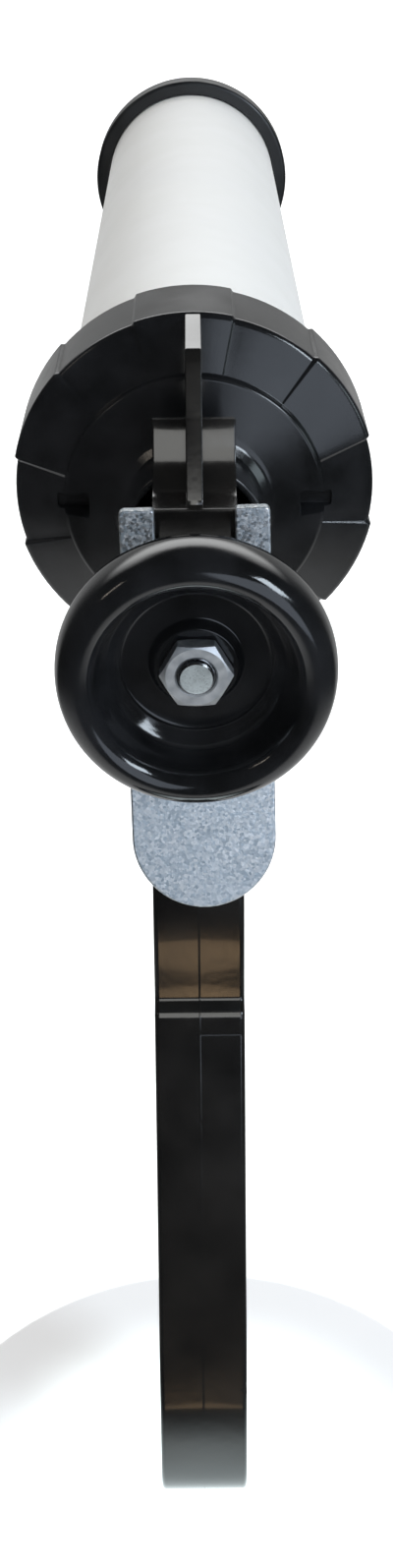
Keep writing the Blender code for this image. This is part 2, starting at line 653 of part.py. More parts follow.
black_moulding = material("gloss_black_moulding", (0.012, 0.012, 0.014), 0.22, 0.0)
black_enamel = material("gloss_black_enamel", (0.010, 0.010, 0.011), 0.18, 0.0)
black_rubber = material("black_rubber", (0.02, 0.02, 0.02), 0.7, 0.0)
white_enamel = material("white_enamel", (0.80, 0.80, 0.79), 0.35, 0.0)
zinc_plate = material("zinc_plate", (0.60, 0.63, 0.67), 0.42, 1.0)
bright_steel = material("bright_steel", (0.55, 0.55, 0.56), 0.3, 1.0)

make_barrel()
make_front_cap()
make_rear_cap()
make_frame()
make_neck_fixing()
make_rod()
make_knob()
make_piston()
make_drive_plates()
make_springs()
make_trigger()
make_trigger_pin()
make_release_plate()
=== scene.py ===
"""Looks of the bulk caulking gun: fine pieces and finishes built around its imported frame.

Sizes in the piece code are millimetres, measured from the point where the barrel's axis meets the
rear cap's step circle: +Y runs forward along the barrel, +Z up, +X to the right seen from behind.
"""
import math

import bmesh
import bpy
from mathutils import Matrix, Vector


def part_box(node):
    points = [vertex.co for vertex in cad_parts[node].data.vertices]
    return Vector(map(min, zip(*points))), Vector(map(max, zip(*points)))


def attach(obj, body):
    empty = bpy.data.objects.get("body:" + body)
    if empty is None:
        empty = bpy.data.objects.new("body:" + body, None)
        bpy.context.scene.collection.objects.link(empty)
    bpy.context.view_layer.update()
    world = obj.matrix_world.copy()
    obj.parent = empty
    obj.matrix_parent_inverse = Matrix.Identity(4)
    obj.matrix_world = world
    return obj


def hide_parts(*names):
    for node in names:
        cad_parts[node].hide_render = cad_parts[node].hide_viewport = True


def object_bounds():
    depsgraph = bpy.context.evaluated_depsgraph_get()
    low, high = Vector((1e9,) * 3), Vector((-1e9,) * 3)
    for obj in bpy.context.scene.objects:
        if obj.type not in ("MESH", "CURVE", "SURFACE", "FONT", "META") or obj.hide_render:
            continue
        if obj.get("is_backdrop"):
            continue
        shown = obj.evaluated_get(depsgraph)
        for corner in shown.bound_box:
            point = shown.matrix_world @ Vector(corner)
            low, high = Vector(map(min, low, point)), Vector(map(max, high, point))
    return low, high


bl_info = {
    "name": "Caulking gun",
    "version": (1, 0, 0),
    "blender": (4, 5, 0),
    "location": "View3D > Sidebar > Caulking gun",
    "description": "Builds a bulk caulking gun around its packed frame, with its finishes and studio",
    "category": "Object",
}

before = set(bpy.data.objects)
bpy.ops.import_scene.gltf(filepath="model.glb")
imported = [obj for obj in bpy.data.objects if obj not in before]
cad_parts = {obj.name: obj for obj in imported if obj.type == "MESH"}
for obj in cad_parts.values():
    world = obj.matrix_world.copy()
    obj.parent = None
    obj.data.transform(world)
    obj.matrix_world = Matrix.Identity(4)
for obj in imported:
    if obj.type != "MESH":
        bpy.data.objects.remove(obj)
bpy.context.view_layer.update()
MM = 0.001
COLLAR_LENGTH = 17.0
HUB = Vector((0.0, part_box("rear_cap")[0].y + COLLAR_LENGTH * MM,
              (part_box("barrel_tube")[0].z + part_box("barrel_tube")[1].z) / 2))


def from_frame(node, corner, axis):
    """A node's lowest (0) or highest (1) coordinate, in millimetres from the hub."""
    return (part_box(node)[corner][axis] - HUB[axis]) / MM


def ends_of(node):
    """A node's rear and front, in millimetres along the barrel's axis."""
    return from_frame(node, 0, 1), from_frame(node, 1, 1)


# ---------------------------------------------------------------- colour and node helpers

def linear(hex_color):
    """Linear RGBA of an sRGB hex colour such as 'ECEDEA'."""
    channels = [int(hex_color[i:i + 2], 16) / 255 for i in (0, 2, 4)]
    return tuple(c / 12.92 if c <= 0.04045 else ((c + 0.055) / 1.055) ** 2.4 for c in channels) + (1.0,)


def per_mm(size):
    """Texture scale whose features come out about this many millimetres apart."""
    return 1.0 / (size * MM)


def add_node(tree, kind, inputs=(), **settings):
    """Add a node, set its properties, and set or link its inputs by name or index."""
    node = tree.nodes.new(kind)
    for name, value in settings.items():
        setattr(node, name, value)
    for key, value in dict(inputs).items():
        if isinstance(value, bpy.types.NodeSocket):
            tree.links.new(value, node.inputs[key])
        else:
            node.inputs[key].default_value = value
    return node


def new_material(name, **sockets):
    """A material with a Principled shader, constants set on the shader's own sockets."""
    made = bpy.data.materials.new(name)
    made.use_nodes = True
    made.node_tree.nodes.clear()
    shader = add_node(made.node_tree, "ShaderNodeBsdfPrincipled",
                      {key.replace("_", " "): value for key, value in sockets.items()})
    add_node(made.node_tree, "ShaderNodeOutputMaterial", {"Surface": shader.outputs[0]})
    return made, made.node_tree, shader


def place_of(tree):
    return add_node(tree, "ShaderNodeTexCoord").outputs["Object"]


def noise(tree, place, size, detail=2.0, rough=0.5, stretch=None):
    """Noise with features of a given size in millimetres, drawn out along an axis if asked."""
    if stretch:
        place = add_node(tree, "ShaderNodeMapping", {"Vector": place, "Scale": stretch}).outputs[0]
    return add_node(tree, "ShaderNodeTexNoise", {"Vector": place, "Scale": per_mm(size), "Detail": detail,
                                                 "Roughness": rough}).outputs["Fac"]


def spread(tree, value, low, high, start=0.3, end=0.7):
    """Carry a texture's usual range to the range wanted."""
    return add_node(tree, "ShaderNodeMapRange", {"Value": value, "From Min": start, "From Max": end,
                                                 "To Min": low, "To Max": high}).outputs[0]


def blend_colors(tree, share, first, second):
    mix = add_node(tree, "ShaderNodeMix", {0: share, 6: first, 7: second}, data_type="RGBA")
    return mix.outputs[2]


def bump(tree, shader, height, depth, strength=1.0):
    """Bump a surface by a height texture of a given depth in millimetres."""
    node = add_node(tree, "ShaderNodeBump", {"Height": height, "Distance": depth * MM, "Strength": strength})
    tree.links.new(node.outputs[0], shader.inputs["Normal"])


def link(tree, source, shader, socket):
    tree.links.new(source, shader.inputs[socket])


# ---------------------------------------------------------------- finishes

RIPPLE_DEPTH = 0.12
GRAIN_DEPTH = 0.02
SPANGLE = 0.45


def mottled(tree, shader, place, size, detail, colors, rough):
    """Cloud a surface between two colours and two degrees of roughness; returns the cloud."""
    cloud = noise(tree, place, size, detail)
    shade = blend_colors(tree, spread(tree, cloud, 0.0, 1.0), linear(colors[0]), linear(colors[1]))
    link(tree, shade, shader, "Base Color")
    link(tree, spread(tree, cloud, *rough), shader, "Roughness")
    return cloud


def moulded_nylon(name, color, gloss):
    """Glass-filled nylon from a polished mould: deep black, with slow ripples where it shrank."""
    made, tree, shader = new_material(name, IOR=1.53)
    place = place_of(tree)
    cloud = mottled(tree, shader, place, 9.0, 3.0, (color, "191A1C"), (gloss * 0.8, gloss * 1.35))
    fine = noise(tree, place, 0.25, 2.0)
    ripple = add_node(tree, "ShaderNodeMath", {0: cloud, 1: RIPPLE_DEPTH}, operation="MULTIPLY")
    grain = add_node(tree, "ShaderNodeMath", {0: fine, 1: GRAIN_DEPTH, 2: ripple.outputs[0]},
                     operation="MULTIPLY_ADD")
    bump(tree, shader, grain.outputs[0], 1.0, 0.35)
    return made


def stoved_enamel(name, color):
    """Stoved enamel on a die casting: a hard gloss with orange peel and a trace of dust."""
    made, tree, shader = new_material(name, IOR=1.5, Coat_Weight=0.35, Coat_Roughness=0.05, Coat_IOR=1.5)
    place = place_of(tree)
    mottled(tree, shader, place, 14.0, 3.0, (color, "161514"), (0.14, 0.24))
    bump(tree, shader, noise(tree, place, 1.6, 1.0), 0.035, 0.5)
    return made


def white_enamel():
    """White enamel rolled on an aluminium tube: an even satin with a faint peel."""
    made, tree, shader = new_material("white_enamel_on_aluminium", IOR=1.5, Coat_Weight=0.15,
                                      Coat_Roughness=0.2)
    place = place_of(tree)
    mottled(tree, shader, place, 22.0, 2.0, ("EBEBE9", "E6E6E3"), (0.32, 0.42))
    bump(tree, shader, noise(tree, place, 1.2, 1.0), 0.02, 0.4)
    return made


def zinc_plate():
    """Bright zinc on pressed steel: fine crystals that glint one by one over a bluish grey."""
    made, tree, shader = new_material("zinc_plate", Metallic=1.0)
    place = place_of(tree)
    cells = add_node(tree, "ShaderNodeTexVoronoi", {"Vector": place, "Scale": per_mm(SPANGLE)})
    value = add_node(tree, "ShaderNodeSeparateColor", {0: cells.outputs["Color"]})
    cloud = noise(tree, place, 6.0, 4.0, 0.6)
    grain = blend_colors(tree, value.outputs[0], linear("B4C0C9"), linear("FFFFFF"))
    shade = blend_colors(tree, spread(tree, cloud, 0.0, 0.45), grain, linear("DDE5EB"))
    link(tree, shade, shader, "Base Color")
    link(tree, spread(tree, value.outputs[1], 0.3, 0.7, 0.0, 1.0), shader, "Roughness")
    bump(tree, shader, noise(tree, place, SPANGLE * 0.8, 3.0, 0.65), 0.05, 0.6)
    return made


def turned_zinc():
    """Zinc on a turned nut: the same plate over fine turning marks, brighter than on the pressing."""
    made, tree, shader = new_material("zinc_plated_nut", Metallic=1.0)
    place = place_of(tree)
    mottled(tree, shader, place, 1.5, 3.0, ("DADFE3", "F2F4F5"), (0.42, 0.58))
    bump(tree, shader, noise(tree, place, 0.35, 2.0), 0.03, 0.5)
    return made


def drawn_steel(name, color, rough, along=(14.0, 1.0, 14.0)):
    """Cold-drawn steel: long faint draw lines and a thin film of oil."""
    made, tree, shader = new_material(name, Metallic=1.0)
    place = place_of(tree)
    lines = noise(tree, place, 4.0, 3.0, 0.6, along)
    cloud = noise(tree, place, 7.0, 2.0)
    shade = blend_colors(tree, spread(tree, cloud, 0.0, 1.0), linear(color), linear("8F9092"))
    link(tree, shade, shader, "Base Color")
    link(tree, spread(tree, lines, rough * 0.8, rough * 1.4), shader, "Roughness")
    bump(tree, shader, lines, 0.01, 0.4)
    return made


def moulded_rubber():
    """Nitrile rubber: a dull black with a soft bloom."""
    made, tree, shader = new_material("moulded_rubber", IOR=1.52)
    place = place_of(tree)
    mottled(tree, shader, place, 3.0, 3.0, ("161617", "242424"), (0.55, 0.72))
    bump(tree, shader, noise(tree, place, 0.3, 2.0), 0.03, 0.5)
    return made


def paper_floor():
    """White acrylic lit from behind: matt, pale, and nearly free of shadow."""
    made, tree, shader = new_material("backlit_acrylic", Roughness=0.9, Emission_Color=linear("FFFFFF"),
                                      Emission_Strength=0.55)
    place = place_of(tree)
    cloud = noise(tree, place, 120.0, 2.0)
    link(tree, blend_colors(tree, spread(tree, cloud, 0.0, 1.0), linear("FBFBFB"), linear("F8F8F8")), shader,
         "Base Color")
    return made


def lit_card():
    """Smoked acrylic with a lamp close behind it: bright at the middle, fading to nothing at its rim."""
    made, tree, shader = new_material("lamp_lit_acrylic", Base_Color=linear("000000"), Roughness=0.9,
                                      Emission_Color=linear("E9F6F8"))
    place = add_node(tree, "ShaderNodeTexCoord").outputs["Object"]
    away = add_node(tree, "ShaderNodeVectorMath", {0: place}, operation="LENGTH")
    fade = add_node(tree, "ShaderNodeMapRange", {"Value": away.outputs["Value"], "From Min": 0.006,
                                                 "From Max": 0.056, "To Min": 3.0, "To Max": 0.0},
                    interpolation_type="SMOOTHERSTEP")
    link(tree, fade.outputs[0], shader, "Emission Strength")
    return made


MAKERS = {
    "nylon": (moulded_nylon, "moulded_nylon", "0C0D0E", 0.17),
    "knob_nylon": (moulded_nylon, "polished_nylon", "0A0B0C", 0.1),
    "satin_nylon": (moulded_nylon, "satin_nylon", "121314", 0.34),
    "enamel": (stoved_enamel, "stoved_black_enamel", "0B0B0B"),
    "white": (white_enamel,),
    "zinc": (zinc_plate,),
    "nut_zinc": (turned_zinc,),
    "steel": (drawn_steel, "drawn_steel", "C6C7C9", 0.22),
    "hard_steel": (drawn_steel, "hardened_steel", "A5A5A6", 0.32, (8.0, 8.0, 1.0)),
    "spring_steel": (drawn_steel, "spring_steel", "9FA0A2", 0.25, (1.0, 1.0, 1.0)),
    "rubber": (moulded_rubber,),
    "paper": (paper_floor,),
    "lit_card": (lit_card,),
}
FINISHES = {}


def finish_named(name):
    """Make each finish once, when it is first asked for."""
    if name not in FINISHES:
        maker, *settings = MAKERS[name]
        FINISHES[name] = maker(*settings)
    return FINISHES[name]


# ---------------------------------------------------------------- shape helpers

def filleted(points, closed=True, steps=5):
    """Round the corners of an outline of (a, b, fillet) points; a fillet of 0 stays sharp."""
    made = []
    count = len(points)
    for i, (a, b, fillet) in enumerate(points):
        corner = Vector((a, b))
        if fillet <= 0 or (not closed and i in (0, count - 1)):
            made.append(corner)
            continue
        back = Vector(points[i - 1][:2]) - corner
        ahead = Vector(points[(i + 1) % count][:2]) - corner
        half = back.angle(ahead) / 2
        reach = min(fillet / math.tan(half), back.length * 0.49, ahead.length * 0.49)
        radius = reach * math.tan(half)
        start = corner + back.normalized() * reach
        end = corner + ahead.normalized() * reach
        middle = corner + (back.normalized() + ahead.normalized()).normalized() * (radius / math.sin(half))
        for k in range(steps + 1):
            t = k / steps
            made.append(middle + (start - middle).slerp(end - middle, t).normalized() * radius)
    return made


def smooth_path(points, steps=6):
    """A curve through given points, by Catmull and Rom's rule."""
    ends = [points[0]] + list(points) + [points[-1]]
    curve = []
    for i in range(1, len(ends) - 2):
        before, start, end, after = (Vector(p) for p in ends[i - 1:i + 3])
        for j in range(steps):
            t = j / steps
            curve.append(0.5 * (2 * start + (end - before) * t
                                + (2 * before - 5 * start + 4 * end - after) * t ** 2
                                + (3 * start - before - 3 * end + after) * t ** 3))
    curve.append(Vector(points[-1]))
    return curve


def offset_outline(outline, inset):
    """Move a closed outline inward along its corners' normals."""
    area = sum(a.x * b.y - b.x * a.y for a, b in zip(outline, outline[1:] + outline[:1]))
    turn = 1.0 if area > 0 else -1.0
    moved = []
    for i, point in enumerate(outline):
        back = (point - outline[i - 1]).normalized()
        ahead = (outline[(i + 1) % len(outline)] - point).normalized()
        run = (back + ahead).normalized()
        inward = Vector((-run.y, run.x)) * turn
        moved.append(point + inward * (inset / max(run.dot(ahead), 0.5)))
    return moved


def tidy_outline(outline):
    """Drop points that coincide with the one before."""
    return [p for i, p in enumerate(outline) if (p - outline[i - 1]).length > 0.01]


def bridge_rings(bm, rings, closed=False):
    """Join rings of points one to the next, and on to the first if closed, or else cap both ends."""
    count = len(rings[0])
    for near, far in zip(rings, rings[1:] + (rings[:1] if closed else [])):
        for j in range(count):
            k = (j + 1) % count
            bm.faces.new((near[j], near[k], far[k], far[j]))
    if not closed:
        bm.faces.new(rings[0])
        bm.faces.new(rings[-1])


def slab(outline, half, edge, ridge=0.0, steps=3):
    """A thick plate: the (a, b) outline extruded to both sides, with rounded edges.

    Its points come out as (thickness, a, b). A ridge stands along the middle, like a mould's parting line.
    """
    outline = tidy_outline([Vector(p[:2]) for p in outline])
    stations = []
    for k in range(steps + 1):
        angle = math.pi / 2 * k / steps
        stations.append((-half + edge * (1 - math.cos(angle)), edge * (1 - math.sin(angle))))
    if ridge:
        stations += [(-0.22, 0.0), (-0.08, -ridge), (0.08, -ridge), (0.22, 0.0)]
    stations += [(-x, inset) for x, inset in reversed(stations[:steps + 1])]
    bm = bmesh.new()
    rings = []
    for x, inset in stations:
        rings.append([bm.verts.new((x, p.x, p.y)) for p in offset_outline(outline, inset)])
    bridge_rings(bm, rings)
    return bm


def turned(profile, segments=96):
    """Turn a closed loop of (radius, y) points about the barrel's axis."""
    bm = bmesh.new()
    rings = []
    for radius, y in profile:
        rings.append([bm.verts.new((radius * math.sin(math.tau * i / segments), y,
                                    radius * math.cos(math.tau * i / segments))) for i in range(segments)])
    bridge_rings(bm, rings, closed=True)
    bmesh.ops.remove_doubles(bm, verts=bm.verts, dist=1e-5)
    return bm


def turned_solid(profile, segments=96):
    """Turn an open profile that starts and ends on the axis."""
    bm = turned(profile, segments)
    flat = [f for f in bm.faces if f.calc_area() < 1e-9]
    bmesh.ops.delete(bm, geom=flat, context="FACES")
    return bm


def threaded(radius, depth, pitch, start, end, segments=32, per_pitch=6):
    """A length of screw thread along Y, running out to a smaller plain core at both ends."""
    bm = bmesh.new()
    rings = []
    count = int((end - start) / pitch * per_pitch)
    for j in range(count + 1):
        y = start + (end - start) * j / count
        ring = []
        for i in range(segments):
            phase = (y / pitch + i / segments) % 1.0
            crest = min(1.0, max(0.0, 1.25 - abs(phase - 0.5) * 4))
            fade = min(1.0, (y - start) / (pitch * 0.8), (end - y) / (pitch * 0.8))
            at = radius - depth + depth * crest * max(fade, 0.0)
            angle = math.tau * i / segments
            ring.append(bm.verts.new((at * math.sin(angle), y, at * math.cos(angle))))
        rings.append(ring)
    bridge_rings(bm, rings)
    return bm


def cylinder(radius, start, end, segments=48):
    return turned_solid([(0.0, start), (radius, start), (radius, end), (0.0, end)], segments)


def cuboid(low, high):
    bm = bmesh.new()
    bmesh.ops.create_cube(bm, size=1.0)
    for vert in bm.verts:
        vert.co = Vector([low[i] if vert.co[i] < 0 else high[i] for i in range(3)])
    return bm


def moved(bm, place=(0, 0, 0), matrix=None):
    if matrix:
        bmesh.ops.rotate(bm, verts=bm.verts, matrix=matrix)
    bmesh.ops.translate(bm, verts=bm.verts, vec=Vector(place))
    return bm


def along_x(bm):
    """Swing a shape turned along Y so that it lies along X."""
    return moved(bm, matrix=Matrix.Rotation(-math.pi / 2, 3, "Z"))


def mesh_of(bm, name):
    mesh = bpy.data.meshes.new(name)
    bm.to_mesh(mesh)
    bm.free()
    return mesh


def new_object(name, data):
    made = bpy.data.objects.new(name, data)
    bpy.context.collection.objects.link(made)
    return made


def temporary(bm):
    bmesh.ops.recalc_face_normals(bm, faces=bm.faces)
    return new_object("working", mesh_of(bm, "working"))


def shaped(bm, joins=(), cuts=(), keep=None):
    """Join shapes to a solid, cut others out of it, and intersect it with keep; returns the result."""
    body = temporary(bm)
    others = []
    steps = [("UNION", j) for j in joins] + [("DIFFERENCE", c) for c in cuts]
    if keep:
        steps.append(("INTERSECT", keep))
    for operation, shape in steps:
        other = temporary(shape)
        others.append(other)
        step = body.modifiers.new(operation, "BOOLEAN")
        step.operation = operation
        step.solver = "EXACT"
        step.object = other
    bpy.context.view_layer.update()
    result = body.evaluated_get(bpy.context.evaluated_depsgraph_get()).to_mesh()
    made = bmesh.new()
    made.from_mesh(result)
    for old in [body] + others:
        bpy.data.objects.remove(old, do_unlink=True)
    if not made.faces:
        raise RuntimeError("a Boolean left nothing")
    return made


def add_piece(name, bm, finish, body, nodes, angle=32.0, skew=None):
    """Turn millimetre shape data into a smooth-shaded piece on its body, standing for its CAD nodes."""
    bmesh.ops.remove_doubles(bm, verts=bm.verts, dist=1e-4)
    bmesh.ops.recalc_face_normals(bm, faces=bm.faces)
    if skew:
        bmesh.ops.transform(bm, verts=bm.verts, matrix=skew)
    bmesh.ops.scale(bm, verts=bm.verts, vec=(MM, MM, MM))
    bmesh.ops.translate(bm, verts=bm.verts, vec=HUB)
    mesh = mesh_of(bm, name)
    mesh.shade_smooth()
    mesh.set_sharp_from_angle(angle=math.radians(angle))
    mesh.materials.append(finish_named(finish))
    made = new_object(name, mesh)
    normals = made.modifiers.new("even_normals", "WEIGHTED_NORMAL")
    normals.keep_sharp = True
    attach(made, body)
    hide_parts(*nodes)


# ---------------------------------------------------------------- barrel and caps

TUBE_RADIUS = from_frame("barrel_tube", 1, 0)
TUBE_REAR, TUBE_FRONT = ends_of("barrel_tube")
CAP_RADIUS = 34.8
CAP_FRONT = from_frame("rear_cap", 1, 1)
STEP_CIRCLE = 24.6
LOBES = 6
LOBE_TURN = -3.0
COLLAR_RADIUS = 13.0
COLLAR_BORE = 11.6
NECK_HOLE = 9.3
SLOT_INNER = 19.8
SLOT_OUTER = 26.0
RING_RADIUS = from_frame("front_cap", 1, 0)
RING_REAR, RING_FACE = ends_of("front_cap")
FIT = 0.3


def rolled_thread(radius, start, end, pitch, depth):
    """Shallow rounded thread turns in a turned profile, as (radius, y) points."""
    count = int((end - start) / pitch * 4)
    return [(radius - depth * (0.5 - 0.5 * math.cos(math.tau * i / 4)), start + (end - start) * i / count)
            for i in range(count + 1)]


def make_barrel(wall):
    inner = TUBE_RADIUS - wall
    profile = [(inner + 0.3, TUBE_REAR), (TUBE_RADIUS - 0.5, TUBE_REAR)]
    profile += rolled_thread(TUBE_RADIUS, TUBE_REAR + 1.0, 19.0, 3.0, 0.35)
    profile += [(TUBE_RADIUS, 20.0), (TUBE_RADIUS, RING_REAR - 1.0)]
    profile += rolled_thread(TUBE_RADIUS, RING_REAR - 0.5, TUBE_FRONT - 0.8, 1.4, 0.25)
    profile += [(TUBE_RADIUS - 0.5, TUBE_FRONT), (inner + 0.3, TUBE_FRONT), (inner, TUBE_FRONT - 0.4),
                (inner, TUBE_REAR + 0.4)]
    add_piece("barrel", turned(profile, 128), "white", "barrel", ["barrel_tube"])


def make_front_cap(mouth):
    bore = TUBE_RADIUS + FIT
    lip = TUBE_FRONT + FIT
    outer = filleted([(bore, RING_REAR, 0.4), (RING_RADIUS, RING_REAR, 1.1), (RING_RADIUS, RING_FACE, 1.6),
                      (mouth, RING_FACE, 1.2), (mouth, lip, 0.3), (bore, lip, 0.0)])
    add_piece("front_ring", turned([tuple(p) for p in outer], 128), "satin_nylon", "front_cap", ["front_cap"])


def lobe_stations():
    """Angles round the rear cap with the share of the grip step that each takes: 0 on a lobe."""
    lobe_half = 15.0
    ramp = 1.3
    half_pitch = 180.0 / LOBES
    recess_half = half_pitch - lobe_half - ramp
    stations = []
    for k in range(LOBES):
        middle = LOBE_TURN + 2 * half_pitch * k
        for i in range(11):
            stations.append((middle - lobe_half + 2 * lobe_half * i / 10, 0.0))
        for i in range(1, 4):
            t = i / 4
            stations.append((middle + lobe_half + ramp * t, t * t * (3 - 2 * t)))
        for i in range(11):
            stations.append((middle + half_pitch - recess_half + 2 * recess_half * i / 10, 1.0))
        for i in range(1, 4):
            t = 1 - i / 4
            stations.append((middle + 2 * half_pitch - lobe_half - ramp * t, t * t * (3 - 2 * t)))
    return [(math.radians(angle), share) for angle, share in stations]


def make_rear_cap(step, face_step):
    """Lobed screw cap: each profile point says how much of the rim and face steps it takes."""
    rim = filleted([
        (CAP_RADIUS - 1.4, CAP_FRONT, 0.0), (CAP_RADIUS, CAP_FRONT, 0.7), (CAP_RADIUS, 3.95, 1.5),
        (STEP_CIRCLE + 0.1, 0.0, 0.25), (STEP_CIRCLE - 0.1, -1.75, 0.9), (14.6, -3.5, 2.5),
        (COLLAR_RADIUS, -5.2, 1.5)], closed=False)
    hub = filleted([
        (COLLAR_RADIUS, -5.2, 0.0), (COLLAR_RADIUS, -COLLAR_LENGTH, 0.45),
        (COLLAR_BORE, -COLLAR_LENGTH, 0.45),
        (COLLAR_BORE, -1.5, 0.8), (NECK_HOLE, -1.5, 0.0)], closed=False)
    inside = [(NECK_HOLE, TUBE_REAR - FIT), (TUBE_RADIUS + FIT, TUBE_REAR - FIT),
              (TUBE_RADIUS + FIT, CAP_FRONT - 0.5), (TUBE_RADIUS + 0.8, CAP_FRONT)]
    profile = [tuple(p) for p in rim + hub[1:]] + inside
    bm = bmesh.new()
    rings = []
    for radius, y in profile:
        outside = min(max((radius - STEP_CIRCLE - 0.2) / 0.4, 0.0), 1.0)
        on_rim = min(max((radius - STEP_CIRCLE - 0.2) / 6.0, 0.0), 1.0)
        if y > TUBE_REAR and radius < TUBE_RADIUS + 1.5:
            outside = on_rim = 0.0
        back = outside * on_rim * min(max((CAP_FRONT - 1.5 - y) / 4.0, 0.0), 1.0)
        rings.append([bm.verts.new(((radius - step * on_rim * share) * math.sin(angle),
                                    y + face_step * back * share,
                                    (radius - step * on_rim * share) * math.cos(angle)))
                      for angle, share in lobe_stations()])
    bridge_rings(bm, rings, closed=True)
    cuts = []
    for sign in (-1, 1):
        wedge = filleted([(SLOT_INNER, -1.0, 0.4), (SLOT_OUTER, -1.0, 0.4), (SLOT_OUTER, 1.0, 0.4),
                          (SLOT_INNER, 1.0, 0.4)])
        cutter = bmesh.new()
        rings = []
        for y, grow in ((1.3, 1.0), (-1.2, 1.35), (-5.5, 3.1)):
            rings.append([cutter.verts.new((sign * p.x, y, p.y * 1.35 * grow)) for p in wedge])
        bridge_rings(cutter, rings)
        cuts.append(cutter)
    add_piece("grip_cap", shaped(bm, cuts=cuts), "nylon", "rear_cap", ["rear_cap"], 28.0)


# ---------------------------------------------------------------- frame and handle

def arc_points(centre, radius, start, end, steps):
    return [(centre[0] + radius * math.cos(math.radians(start + (end - start) * i / steps)),
             centre[1] + radius * math.sin(math.radians(start + (end - start) * i / steps)))
            for i in range(steps + 1)]


UPPER_LEAN = math.radians(6.8)
LOWER_LEAN = math.radians(21.0)
PLATE_SKEW = math.radians(-1.2)
PLATE_BEND = Vector((-37.1 - 23.0 * math.tan(UPPER_LEAN), -14.0))
PIVOT = Vector((0.0, (from_frame("trigger_pin", 0, 1) + from_frame("trigger_pin", 1, 1)) / 2,
                (from_frame("trigger_pin", 0, 2) + from_frame("trigger_pin", 1, 2)) / 2))
HANDLE_HALF = 8.35
HEAD_HALF = 11.0
BLOCK_HALF = 7.3
FIN_HALF = 1.45
TONGUE_HALF = 6.3
CHANNEL_HALF = 5.6
NECK_RADIUS = 9.0
NECK_BORE = 6.3
ROD_HOLE = 4.35
PIN_HOLE = 2.7
POCKET_RADIUS = 3.4
BOTTOM = from_frame("handle_frame", 0, 2)
FIN_TOP = from_frame("handle_frame", 1, 2)
HEEL = from_frame("handle_frame", 0, 1)


def handle_outline():
    """Side view of the handle: straight back with its ledge, toe that curves forward, front edge."""
    upper = smooth_path([(-35.0, -12.0), (-36.3, -24.0), (-38.6, -36.0), (-42.0, -48.0), (-45.4, -58.0),
                         (-47.4, -67.0), (-48.7, -78.0)], 5)
    ledge = filleted([(-48.7, -78.0, 0.0), (-48.95, -79.9, 0.9), (-51.9, -81.2, 2.0), (-53.0, -85.0, 6.0),
                      (-53.34, -86.0, 0.0)], closed=False, steps=6)
    heel = smooth_path([(-70.9, -138.0), (-74.35, -148.5), (-76.85, -157.0), (-78.75, -165.0),
                        (HEEL + 0.05, -171.5), (-79.0, -175.8), (-76.9, -178.0), (-73.6, BOTTOM + 0.15),
                        (-68.0, -177.4), (-64.0, -176.6), (-60.8, -174.8), (-58.8, -171.2)], 6)
    front = [(-36.0, -90.0, 0.0), (-33.6, -80.0, 12.0), (-31.0, -62.0, 20.0), (-24.5, -42.0, 20.0),
             (-21.5, -28.0, 10.0), (-21.0, -12.0, 0.0)]
    return upper + ledge[1:] + heel + filleted(front, closed=False, steps=6)


def block_outline():
    sweep = arc_points((-29.7, 22.5), 10.5, 0, -90, 16)
    return ([(-17.6, 2.5), (-17.6, 22.0), (-18.1, 22.5)] + sweep
            + [(-34.2, 12.0), (-34.8, 11.8), (-35.0, 11.2), (-35.0, 2.5)])


def fin_outline():
    cone = 0.407
    front_top = cone * (FIN_TOP - 24.5) - 0.95
    front_low = cone * 1.3 - 0.95
    return filleted([(front_top, FIN_TOP, 0.5), (-13.6, 33.3, 2.0), (-15.6, 31.6, 3.0), (-22.5, 23.6, 30.0),
                     (-32.6, 12.4, 2.0), (-33.5, 10.0, 0.0), (-19.0, 10.0, 0.0), (-18.2, 14.6, 0.0),
                     (-6.2, 14.6, 1.0), (-4.8, 16.0, 1.0), (-3.0, 25.2, 0.6), (front_low, 25.8, 0.4)])


def handle_marks():
    """Small cuts in the handle's back: a nick in its right edge, and two shallow gate marks."""
    lean = (78.6 - 53.0) / (160.5 - 85.0)
    nick_height = -152.5
    back = -53.0 + (85.0 + nick_height) * lean
    nick = bmesh.new()
    ends = [[nick.verts.new((x, y, nick_height + rise)) for x, rise in ((6.9, 0.0), (9.2, 1.5), (9.2, -2.1))]
            for y in (back - 3.0, back + 6.0)]
    bridge_rings(nick, ends)
    marks = [nick]
    for z, radius in ((-101.0, 0.45), (-138.0, 0.6)):
        dimple = cylinder(radius, -0.5, 0.25, 20)
        at = (0.0, -53.0 + (85.0 + z) * lean, z)
        marks.append(moved(dimple, at, Matrix.Rotation(-math.atan(lean), 3, "X")))
    return marks


def rear_spring_line():
    """Place and direction of the release spring: across the plate's lower leg, into the handle."""
    push = Vector((0, math.cos(LOWER_LEAN), -math.sin(LOWER_LEAN)))
    down = Vector((0, -math.sin(LOWER_LEAN), -math.cos(LOWER_LEAN)))
    return Vector((0, PLATE_BEND.x, PLATE_BEND.y)) + down * 18.0 + push * 1.5, push


